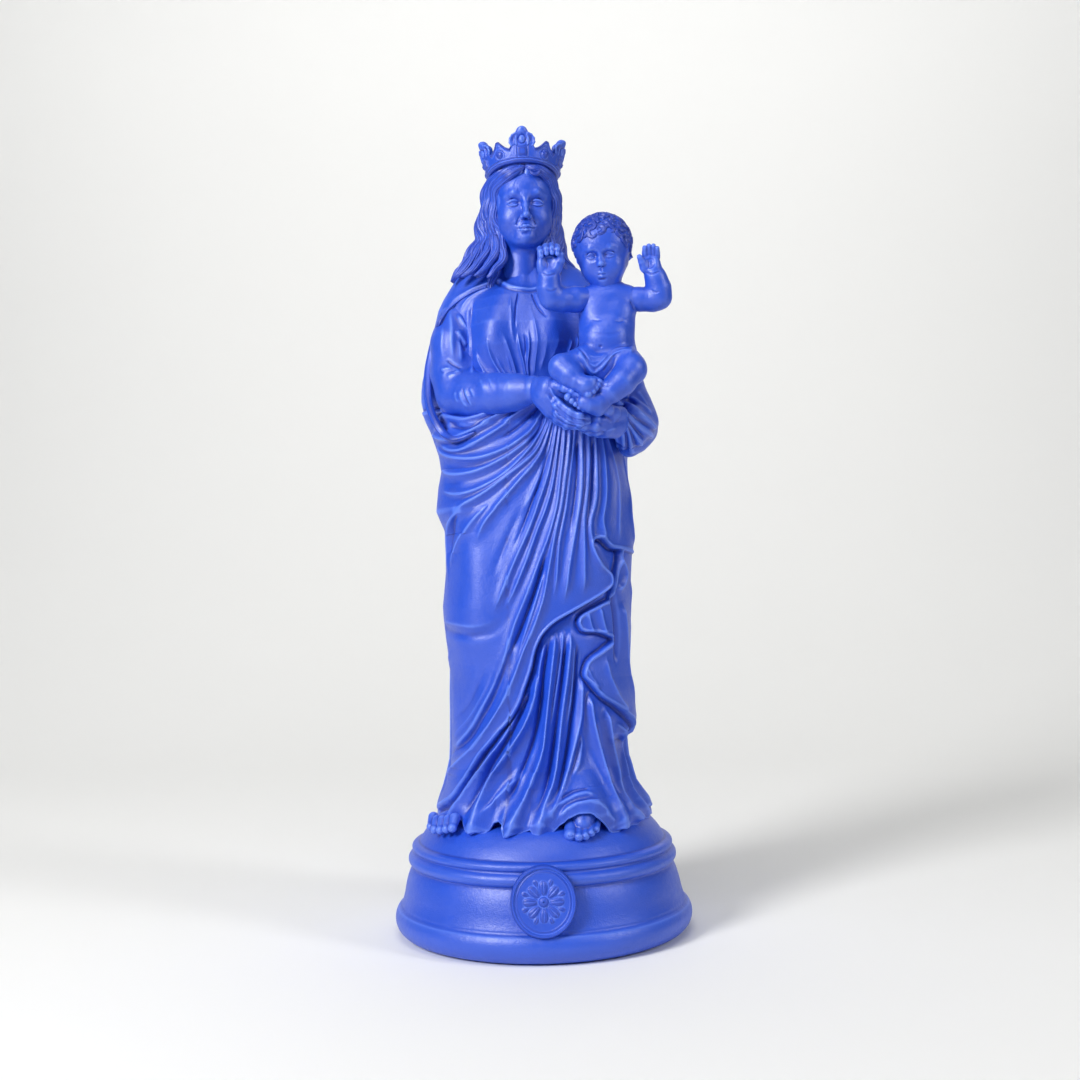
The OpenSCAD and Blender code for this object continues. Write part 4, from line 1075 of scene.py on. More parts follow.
# ---------------------------------------------------------------- arms and hands of the mother
def view_relief(v, q, folds, grooves=(), power=3.0, px=0.49, bumps=()):
    """Raises folds given in frame coordinates on what faces the front of a mesh."""
    nrm = vertex_normals(v, q)
    X, Y = to_view(v)
    R = Relief(X * px, Y * px, power)
    for pts, kw in folds:
        R.crest(spline(np.array([(p[0] * px, p[1] * px) for p in pts]), 1.0), **kw)
    for pts, kw in grooves:
        R.groove(spline(np.array([(p[0] * px, p[1] * px) for p in pts]), 1.0), **kw)
    for px_, py_, sa, sb, amp in bumps:
        R.bump(px_ * px, py_ * px, sa, sb, amp)
    h = R.height() * sm(0.15, -0.35, nrm[:, 1])
    return v + nrm * h[:, None], nrm


def noise_field(v, scale, seed):
    """Smooth pseudo-noise of a few waves at points v."""
    r = np.random.default_rng(seed)
    out = np.zeros(len(v))
    for _ in range(7):
        k = r.normal(size=3)
        k *= (0.6 + 0.8 * r.random()) / np.linalg.norm(k) / scale
        out += np.sin(v @ k * 2 * math.pi + r.random() * 6.28)
    return out / 4.0


def right_sleeve():
    F = Field((-62, -62, 245), (14, 18, 332), 0.55)
    F.chain([(P(466, 314, 6), 7.2), (P(459, 324, 4), 9.2), (P(453.5, 345, -1), 10.2), (P(455, 375, -7), 10.6), (P(461, 393, -12), 11.4)], 7)
    F.chain([(P(461, 395, -12), 11.2), (P(478, 396, -21), 10.6), (P(497, 394, -30), 9.2), (P(515, 392, -37), 7.9), (P(533, 389.5, -43.5), 6.4)], 5)
    F.cone(P(535.5, 389.5, -44.3), P(538, 389.6, -45.2), 6.1, 5.9, 1.0)
    v, q = F.mesh(3)
    folds = [([(450, 306), (451.5, 328), (452, 348), (454, 362)], dict(amp=1.1, left=2.2, right=1.8, ends=(0.3, 0.3))),
             ([(444, 322), (442, 345), (443, 362)], dict(amp=0.8, left=1.6, right=2.0, ends=(0.3, 0.4))),
             ([(459, 330), (459.8, 348), (461.5, 364)], dict(amp=1.0, left=1.3, right=1.0, ends=(0.35, 0.3))),
             ([(455.5, 313.5), (460, 319.5), (464, 326), (468, 333.5), (471, 343)], dict(amp=1.5, left=0.8, right=1.3, ends=(0.25, 0.1))),
             ([(462, 302), (467.5, 308), (470.5, 318), (471.5, 336)], dict(amp=1.3, left=0.8, right=1.2, ends=(0.2, 0.1))),
             ([(455.5, 329.5), (460.8, 337.5), (466.5, 347)], dict(amp=1.3, left=0.8, right=1.4, ends=(0.25, 0.2))),
             ([(470.5, 340), (471, 358), (472, 374)], dict(amp=1.0, left=0.9, ends=(0.2, 0.1))),
             ([(440, 371.5), (446, 369), (453, 369)], dict(amp=0.8, left=0.8, ends=(0.3, 0.3))),
             ([(440.5, 379.5), (445, 374.8), (452, 372.3), (463, 372)], dict(amp=0.8, left=0.8, right=1.3, ends=(0.3, 0.25))),
             ([(446, 379), (451.5, 375), (459, 374.8)], dict(amp=0.6, left=0.7, ends=(0.3, 0.3))),
             ([(460.2, 388), (460.8, 396), (464, 402.5), (469.5, 409)], dict(amp=0.65, left=0.7, ends=(0.3, 0.3))),
             ([(464.2, 387), (466.5, 394), (470, 401), (473.5, 408)], dict(amp=0.55, left=0.7, ends=(0.3, 0.3))),
             ([(455.5, 390), (456, 397.5), (459, 404)], dict(amp=0.45, left=0.7, ends=(0.3, 0.3))),
             ([(469.8, 386), (472.5, 393), (476.5, 399.5)], dict(amp=0.35, left=0.7, ends=(0.3, 0.3))),
             ([(479, 377), (482.5, 385), (483, 394)], dict(amp=0.32, left=1.3, ends=(0.3, 0.5))),
             ([(488, 376.5), (491.5, 384), (491.5, 392)], dict(amp=0.3, left=1.2, ends=(0.3, 0.5))),
             ([(497, 377), (499, 384), (498, 391)], dict(amp=0.15, left=1.2, ends=(0.3, 0.5))),
             ([(507, 378), (509, 386), (508, 393)], dict(amp=0.15, left=1.2, ends=(0.3, 0.5)))]
    grooves = [([(462.5, 388), (464.8, 396), (470, 405)], dict(amp=0.4, w=0.5)), ([(445.5, 358.5), (452.5, 364), (462, 369)], dict(amp=0.8, w=0.7, ends=(0.3, 0.2))),
               ([(466, 309), (467.5, 320), (468.3, 329)], dict(amp=0.7, w=0.8, ends=(0.3, 0.2))), ([(457, 337), (461.5, 344), (466, 352)], dict(amp=0.5, w=0.8, ends=(0.3, 0.2))),
               ([(442, 377), (449, 372.5), (458, 370.8)], dict(amp=0.5, w=0.6, ends=(0.3, 0.3))), ([(537.5, 379), (539, 390), (538, 400)], dict(amp=0.4, w=0.45, ends=(0.1, 0.1)))]
    v, n = view_relief(v, q, folds, grooves)
    v = v + n * (0.16 * noise_field(v, 14, 3))[:, None]
    return v, q


def left_sleeve():
    F = Field((22, -52, 226), (66, 16, 332), 0.55)
    F.chain([(P(588, 318, 12), 8.0), (P(602, 340, 8), 9.0), (P(613, 362, 3), 9.6), (P(623, 387, -4), 9.6)], 7)
    F.chain([(P(622, 388, -6), 9.4), (P(632.5, 407, -10), 8.4), (P(638, 422, -16), 8.4), (P(630, 427, -26), 8.0), (P(620, 423, -35), 6.4)], 6)
    F.chain([(P(637, 424, -12), 8.4), (P(631.5, 438.5, -14), 6.8), (P(629, 447.5, -17), 4.5)], 5)
    F.chain([(P(645.5, 420, -8), 4.4), (P(645.5, 432, -10), 4.4), (P(638.5, 441, -14), 3.9)], 4)
    # cloth gathered up under the child's seat and back
    for px, py, r in ((607, 367, 5.6), (605, 379, 6.4), (607, 393, 6.8)):
        F.chain([(P(px + 4, py - 6, -4), r + 1.2), (P(px + 1, py - 3, -18), r + 0.4), (P(px - 2, py, -30), r), (P(px - 3, py + 1, -40), r - 0.6)], 6)
    v, q = F.mesh(3)
    folds = [([(614, 404), (621, 403.5), (628, 406), (636, 412), (646, 420.5), (656, 430)], dict(amp=2.2, left=1.2, right=1.7, ends=(0.1, 0.1))),
             ([(620, 411.5), (628, 418), (636, 425), (648, 433), (654, 437)], dict(amp=2.0, left=1.2, right=1.6, ends=(0.15, 0.1))),
             ([(622.5, 416), (629, 426), (636, 436), (642, 446)], dict(amp=2.0, left=1.1, right=1.5, ends=(0.15, 0.1))),
             ([(624.5, 420), (628, 431), (630.5, 442), (631.5, 455)], dict(amp=1.9, left=1.1, right=1.5, ends=(0.15, 0.1))),
             ([(621, 428), (623.5, 438), (624, 450)], dict(amp=1.5, left=1.1, ends=(0.15, 0.1))),
             ([(627, 396), (636, 401), (645, 409), (652, 417)], dict(amp=1.4, left=1.3, ends=(0.2, 0.2))),
             ([(636, 390), (643, 400), (649, 411)], dict(amp=0.9, left=1.3, ends=(0.2, 0.3))),
             ([(616, 434), (618, 441), (619, 448)], dict(amp=1.2, left=1.0, ends=(0.15, 0.1)))]
    grooves = [([(618, 407), (627, 411), (636, 418), (650, 428)], dict(amp=1.2, w=0.9)), ([(622, 413.5), (633, 427), (645, 440)], dict(amp=1.2, w=0.9)),
               ([(623.5, 420), (631, 434), (636, 448)], dict(amp=1.1, w=0.8)), ([(622.5, 424), (626.5, 436), (627.5, 450)], dict(amp=1.0, w=0.8)),
               ([(618, 400.5), (628, 400), (638, 406)], dict(amp=1.2, w=1.0, ends=(0.1, 0.3)))]
    v, n = view_relief(v, q, folds, grooves)
    v = v + n * (0.2 * noise_field(v, 15, 5))[:, None]
    return v, q


SV = np.concatenate([BV, right_sleeve()[0]])
BPX, BPY = to_view(SV)


def skin_depth(px, py, r=2.0):
    """Depth of the figure's front surface seen at px, py."""
    k = np.hypot(BPX - px, BPY - py)
    w = k < max(r, k.min() + 0.3)
    return float(SV[w, 1].min())


def mantle_roll():
    """Edge of the mantle hanging round the outside of the right arm."""
    pts = []
    for px, py, d, rad in ((487, 286.5, None, 0.35), (473, 291.5, None, 0.45), (459, 300, None, 0.5), (447, 310.5, None, 0.6), (439, 323.5, None, 0.9), (434.8, 337, 2.5, 1.5),
                           (431.6, 352, 2.0, 1.8), (428.6, 368, 0.0, 1.9), (427.4, 384, -4.0, 2.0), (428.2, 400, -9.0, 2.1), (431.5, 413.5, -14.0, 2.2),
                           (437, 425, -18.5, 2.3), (444, 434, None, 2.2), (453, 439, None, 1.9), (463, 437.3, None, 1.4), (475, 431.8, None, 0.5)):
        y = skin_depth(px, py) - 0.35 * rad if d is None else d
        pts.append(list(P(px, py, y)) + [rad])
    s = spline(np.array(pts), 0.8)

    def groove(t, phi):
        return 1.0 + 0.14 * np.cos(2 * phi + 0.9 + 1.1 * np.sin(5 * t)) + 0.07 * np.cos(5 * phi + 9 * t)
    return tube(s[:, :3], s[:, 3], 36, groove, (1.0, 0.7))


v, f, t = mantle_roll()
mesh_obj("mantle_roll", v, [f, t], BLUE, ["mother_body"])
v, q = right_sleeve()
mesh_obj("right_sleeve", v, q, BLUE, ["mother_body"])
v, q = left_sleeve()
mesh_obj("left_sleeve_drape", v, q, BLUE, ["mother_body"])


def finger(F, pts, k=0.35, nail=None):
    """pts of (px, py, depth, radius): bones with slightly fuller joints and a rounded tip."""
    q = [(P(*p[:3]), p[3]) for p in pts]
    F.chain(q, k)
    for c, r in q[1:-1]:
        F.ball(c, r * 1.07, 0.8)


def right_hand():
    F = Field((-6, -68, 240), (36, -34, 283), 0.3)
    F.cone(P(533, 389.5, -43.5), P(542, 391.5, -47), 4.9, 5.2, 2)
    F.chain([(P(541, 390, -47), 5.3), (P(548, 396, -50), 5.6), (P(553, 404, -51), 5.2)], 3)
    F.chain([(P(545, 399, -48), 5.0), (P(553, 409, -49), 5.0)], 3)
    F.chain([(P(542, 386, -48), 4.2), (P(549, 387, -52), 4.0), (P(556, 389, -54), 2.8)], 2.5)
    F.ball(P(565, 399, -50.5), (8.5, 3.6, 6.5), 2.5)
    F.ball(P(560.5, 393.5, -53.2), (4.2, 3.0, 3.2), 2)
    finger(F, [(551, 396, -52, 3.0), (559, 406, -56.5, 2.55), (570, 413.2, -59, 2.25), (579, 417.2, -60, 2.0), (588, 417.8, -57.6, 1.3)], 0.75)
    finger(F, [(551, 402.5, -51.5, 3.0), (559, 413, -55.5, 2.55), (569.5, 419.6, -58, 2.25), (579.5, 422.6, -58.8, 2.0), (588.5, 421.8, -56.8, 1.25)], 0.75)
    finger(F, [(551, 407, -49.5, 2.9), (558.5, 417, -53.5, 2.45), (568, 423.2, -56, 2.1), (577.5, 425.4, -56.5, 1.8), (584, 424.8, -56, 1.4)], 0.75)
    finger(F, [(550, 409.5, -46, 2.7), (557.5, 419.8, -50, 2.2), (566, 425.4, -52.5, 1.8), (573.5, 427, -53, 1.4)], 0.75)
    finger(F, [(545, 384.3, -49, 3.7), (556, 385.6, -54.5, 2.65), (565, 388.4, -58.5, 1.85), (572, 391.7, -61, 1.6), (578.3, 395.2, -62, 1.5)], 0.7)
    v, q = F.mesh(2)
    g = [([(554, 402), (562, 411), (574, 418.3), (588, 420)], dict(amp=0.3, w=0.35, ends=(0.1, 0.1))),
         ([(554, 408.5), (562, 417), (573, 423), (584, 424.2)], dict(amp=0.3, w=0.35, ends=(0.1, 0.1))),
         ([(553, 412), (560, 420.5), (569, 425), (577, 426.8)], dict(amp=0.28, w=0.35, ends=(0.1, 0.1))),
         ([(574.2, 391.4), (577.8, 392.3), (580, 394.6)], dict(amp=0.25, w=0.3, ends=(0.1, 0.1)))]
    f = [([(550, 385.5), (552.5, 393), (559.5, 402), (568.5, 409), (577.5, 413.8), (586, 414.8)], dict(amp=0.7, left=0.5, right=0.8, ends=(0.15, 0.1))), ([(546, 393), (551, 402), (557, 409)], dict(amp=0.35, left=0.8, ends=(0.3, 0.3)))]
    v, n = view_relief(v, q, f, g)
    return v, q


def left_hand():
    F = Field((14, -66, 232), (56, -24, 275), 0.3)
    F.chain([(P(623, 422, -33), 5.6), (P(614, 423, -41), 5.6), (P(605, 424, -47), 5.2)], 3)
    F.chain([(P(613, 428, -41), 4.6), (P(604, 429, -46), 4.2)], 3)
    finger(F, [(606, 420.2, -49.5, 3.1), (596, 420.6, -53.5, 2.6), (587, 420.6, -54, 2.2), (580, 420, -53, 1.8)], 0.3)
    finger(F, [(606, 425.2, -49, 3.0), (594.5, 426.3, -54, 2.55), (584.5, 425.8, -55, 2.2), (577, 424.4, -54, 1.7)], 0.3)
    finger(F, [(606, 429.2, -46.5, 2.9), (596, 430.4, -51, 2.4), (588, 429.6, -52.5, 2.1), (581, 428, -52, 1.7)], 0.3)
    finger(F, [(607, 431, -43, 2.5), (598, 432.6, -47, 2.1), (590, 432, -48.5, 1.8), (584, 430.4, -48.5, 1.4)], 0.3)
    finger(F, [(619, 414.6, -43, 4.2), (612.5, 413.2, -50, 3.3), (607.6, 409.6, -55, 2.5), (604.6, 404.6, -58, 1.9)], 1.2)
    v, q = F.mesh(2)
    f = [([(618, 420), (609, 423), (601, 424)], dict(amp=0.4, left=0.7, ends=(0.3, 0.3))), ([(618, 427), (609, 430), (601, 430.5)], dict(amp=0.4, left=0.7, ends=(0.3, 0.3)))]
    v, n = view_relief(v, q, f)
    return v, q


v, q = right_hand()
mesh_obj("right_hand_sculpt", v, q, BLUE, ["right_hand"])
v, q = left_hand()
mesh_obj("left_hand_sculpt", v, q, BLUE, ["left_hand"])

# ---------------------------------------------------------------- feet
def feet():
    F = Field((-64, -64, 44), (42, -8, 78), 0.35)
    # right foot, seen from its side at the left
    F.chain([(P(455, 817, -24.5), 4.2), (P(446, 821, -25.5), 3.9), (P(437, 825, -24.5), 3.2)], 3)
    for i, (px, py, y, r) in enumerate(((452.5, 827.5, -39, 2.0), (446.5, 828.5, -36.5, 1.9), (440.5, 829.5, -33, 1.9), (435, 829, -29, 1.9), (431, 826, -24.5, 1.9))):
        F.cone(P(px + 2.5, py - 9, y + 4), P(px, py, y), r + 0.7, r, 0.6)
        F.ball(P(px - 0.3, py + 0.6, y - 0.6), r * 1.08, 0.4)
    # left foot, pointing forward under the arched hem
    F.chain([(P(584, 808, -38), 7.0), (P(583, 818, -44), 5.6), (P(583, 825, -47), 4.4)], 3)
    for px, py, y, r in ((570.5, 834, -51.5, 2.9), (578.8, 836, -52.5, 2.25), (585.3, 835, -52, 2.1), (591, 832, -50.5, 1.95), (596, 828.5, -48, 1.8)):
        F.cone(P(px + 0.8, py - 10, y + 6), P(px, py, y), r + 0.5, r, 0.45)
        F.ball(P(px, py + 0.8, y - 0.5), (r * 1.05, r * 1.15, r * 0.98), 0.35)
    F.plane((0, 0, 50), (0, 0, -1))
    v, q = F.mesh(2)
    g = []
    for px, py in ((570.5, 836), (578.8, 838), (585.3, 837), (591, 834), (596, 830.5)):
        g.append(([(px - 2.2, py - 1.5), (px - 1.6, py + 0.8), (px + 1.6, py + 0.8), (px + 2.2, py - 1.5)], dict(amp=0.22, w=0.28, ends=(0.1, 0.1))))
    return view_relief(v, q, [], g)[0], q


v, q = feet()
mesh_obj("bare_feet", v, q, BLUE, ["mother_body"])


# ---------------------------------------------------------------- head of the mother
HX = -2.0                                                   # middle of the face


def mother_face():
    F = Field((-20.5, -26.5, 316), (17.5, 14, 386), 0.24)

    def c(x, y, z):
        return (HX + x, y, z)
    F.cone((-3.6, -2.2, 314), (-2.9, -1.6, 348), 9.9, 9.1, 2)
    F.cone(c(-5.5, -7.5, 318), c(-9, 1, 346), 2.2, 2.6, 4)
    F.cone(c(4.0, -7.5, 318), c(8, 1, 346), 2.2, 2.6, 4)
    F.ball(c(0, 2.5, 366), (15.0, 17.0, 17.0), 2)
    F.ball(c(0, -6.6, 359.5), (12.7, 11.4, 18.4), 6)
    F.ball(c(0, -8.6, 370.5), (11.8, 9.8, 9.6), 6)
    for s in (-1, 1):
        F.ball(c(6.4 * s, -10.6, 354.2), (6.2, 5.9, 6.6), 5)
        F.cone(c(11.3 * s, -1.5, 352), c(3.0 * s, -14.2, 344.2), 3.6, 3.0, 4)
    F.ball(c(0, -16.2, 344.2), (3.1, 2.8, 3.0), 3)
    F.ball(c(0, -14.9, 349.6), (4.9, 4.1, 4.4), 3.5)
    for s in (-1, 1):
        F.ball(c(5.7 * s, -19.4, 361.9), (4.3, 3.1, 2.7), 2.2, cut=True)
        F.cone(c(2.3 * s, -17.1, 365.0), c(5.7 * s, -17.2, 366.5), 0.95, 0.95, 2.4)
        F.cone(c(5.7 * s, -17.2, 366.5), c(9.5 * s, -14.6, 365.0), 0.95, 0.7, 2.4)
        ex, ey, ez, er = 5.7 * s, -13.9, 361.4, 3.25
        F.ball(c(ex, ey, ez), er, 0.25)

        def lid(h0, up, rad, k, cut=False, half=3.25, lift=0.12, drop=0.0):
            pts = []
            for t in np.linspace(-1, 1, 11):
                x = half * t
                z = h0 + up * (1 - t * t) - drop * t * s
                y = -math.sqrt(max((er + lift) ** 2 - (x * 0.92) ** 2 - z * z, 0.3))
                pts.append((c(ex + x, ey + y, ez + z), rad * (1 - 0.45 * abs(t) ** 3)))
            for (a, ra), (b, rb) in zip(pts[:-1], pts[1:]):
                F.cone(a, b, ra, rb, k, cut=cut)
        lid(0.0, 1.42, 0.50, 0.35, drop=0.22)
        lid(-0.15, -0.98, 0.40, 0.35, drop=0.22)
        lid(0.9, 1.75, 0.22, 0.35, cut=True, half=3.0, lift=0.42)
    # nose
    F.cone(c(0, -17.6, 365.2), c(0, -19.3, 359.5), 1.35, 1.25, 2.2)
    F.cone(c(0, -19.3, 359.5), c(0, -21.3, 355.0), 1.25, 1.55, 1.2)
    F.ball(c(0, -21.1, 354.6), (1.7, 1.65, 1.5), 0.8)
    for s in (-1, 1):
        F.ball(c(1.75 * s, -19.4, 354.1), (1.2, 1.75, 1.2), 0.7)
        F.ball(c(0.95 * s, -20.4, 353.0), (0.5, 0.75, 0.42), 0.3, cut=True)
        F.cone(c(2.8 * s, -18.6, 354.8), c(4.6 * s, -17.3, 351.0), 0.14, 0.1, 1.3, cut=True)
    # mouth: philtrum, lips and the hollow below
    F.cone(c(0, -20.0, 352.3), c(0, -19.9, 350.5), 0.32, 0.34, 0.6, cut=True)
    up = [(c(-4.0, -17.3, 348.75), 0.2), (c(-2.4, -18.5, 349.3), 0.55), (c(-1.0, -19.15, 349.75), 0.72), (c(0, -19.25, 349.5), 0.74),
          (c(1.0, -19.15, 349.75), 0.72), (c(2.4, -18.5, 349.3), 0.55), (c(4.0, -17.3, 348.75), 0.2)]
    F.chain(up, 0.45)
    lo = [(c(-3.7, -17.3, 348.3), 0.2), (c(-2.0, -18.4, 347.75), 0.7), (c(0, -18.85, 347.5), 0.98), (c(2.0, -18.4, 347.75), 0.7), (c(3.7, -17.3, 348.3), 0.2)]
    F.chain(lo, 0.45)
    sl = [c(-4.3, -17.55, 348.75), c(-2.2, -19.0, 348.6), c(0, -19.9, 348.45), c(2.2, -19.0, 348.6), c(4.3, -17.55, 348.75)]
    for a, b in zip(sl[:-1], sl[1:]):
        F.cone(a, b, 0.22, 0.22, 0.28, cut=True)
    F.ball(c(0, -19.9, 346.1), (2.4, 1.1, 0.75), 0.9, cut=True)
    return F.mesh(2)


NOD = turn("X", -1.5) @ turn("Z", 3.5)
PIVOT = np.array([HX, 0.0, 346.0])


def pose_head(v):
    """Nod and turn of the head, fading out down the neck."""
    w = sm(330, 352, v[:, 2])[:, None]
    return v + ((v - PIVOT) @ NOD.T + PIVOT - v) * w


v, q = mother_face()
v = pose_head(v)
mesh_obj("mother_face_and_neck", v, q, BLUE, ["mother_head"])

# ---------------------------------------------------------------- hair
def lock(pts, n=22, strands=4, depth=0.16, width=1.0, thick=0.8, twist=0.0, seed=0, wave=0.0, phase=0.0):
    """A grooved lock; pts of (px, py, depth, radius)."""
    r = np.random.default_rng(seed)
    p = np.array([list(P(*q[:3])) + [q[3]] for q in pts])
    return lock3(p, n, strands, depth, width, thick, twist, r, wave=wave, phase=phase)


def lock3(p, n=22, strands=4, depth=0.16, width=1.0, thick=0.8, twist=0.0, r=None, centre=(-3.0, 1.0), wave=0.0, phase=0.0):
    r = np.random.default_rng(0) if r is None else r
    s = spline(p, 0.6)
    ph = r.random() * 6.28
    if wave:
        # gentle waves across the lock, in step with its neighbours
        d = np.gradient(s[:, :3], axis=0)
        along = np.concatenate([[0], np.cumsum(np.linalg.norm(np.diff(s[:, :3], axis=0), axis=1))])
        side = np.stack([d[:, 2], 0 * d[:, 0], -d[:, 0]], 1)
        side /= np.maximum(np.linalg.norm(side, axis=1, keepdims=True), 1e-9)
        f = sm(10, 26, along) * sm(0, 8, along[-1] - along)
        s[:, :3] += side * (wave * f * np.sin(along * 2 * math.pi / 15.5 + phase))[:, None]

    def groove(t, phi):
        a = strands * (phi + ph + twist * t + 0.22 * np.sin(7 * t + ph))
        b = 2.3 * a + 5 * t + ph
        return 1.0 + depth * (np.abs(np.cos(a)) ** 0.8 - 0.6) + 0.05 * np.abs(np.cos(b))
    c = np.array([centre[0], centre[1], s[0, 2] - 6.0])
    return tube(s[:, :3], np.maximum(s[:, 3], 0.12), n, groove, (width, thick), up=s[0, :3] - c)


def hair_cap():
    F = Field((-27, -21, 318), (22, 27, 385), 0.6)
    F.ball((-2.6, 2.2, 364.5), (17.3, 18.6, 18.6), 1)
    F.cone((-2.8, 4.5, 358), (-3.0, 7.5, 330), 14.0, 13.5, 5)
    F.cone((-3.0, 8.0, 335), (-3.0, 9.5, 320), 14.0, 13.0, 5)
    F.ball((HX + 0.2, -21.5, 351.5), (13.6, 17.0, 24.5), 1.5, cut=True)
    F.ball((-2.2, -6.6, 377.0), (12.6, 11.0, 6.4), 2)
    F.ball((-2.2, -2.0, 379.5), (14.2, 14.0, 7.0), 2)
    F.plane((0, 0, 320), (0, 0, -1))
    v, q = F.mesh(2)
    n = vertex_normals(v, q)
    a = np.arctan2(v[:, 0] + 2.7, -(v[:, 1] - 1.0))
    s = 34 * a + 1.4 * np.sin(v[:, 2] / 4.5 + 2 * a)
    top = sm(381, 372, v[:, 2])
    h = (0.42 * np.abs(np.sin(s / 2)) + 0.22 * np.sin(s * 0.37 + v[:, 2] / 5.0)) * (0.25 + 0.75 * top)
    part = np.exp(-((v[:, 0] + 2.6) / 0.9) ** 2) * sm(366, 374, v[:, 2]) * sm(16, 8, v[:, 1])
    return v + n * (h - 0.9 * part)[:, None], q


v, q = hair_cap()
mesh_obj("hair_cap", pose_head(v), q, BLUE, ["mother_head"])

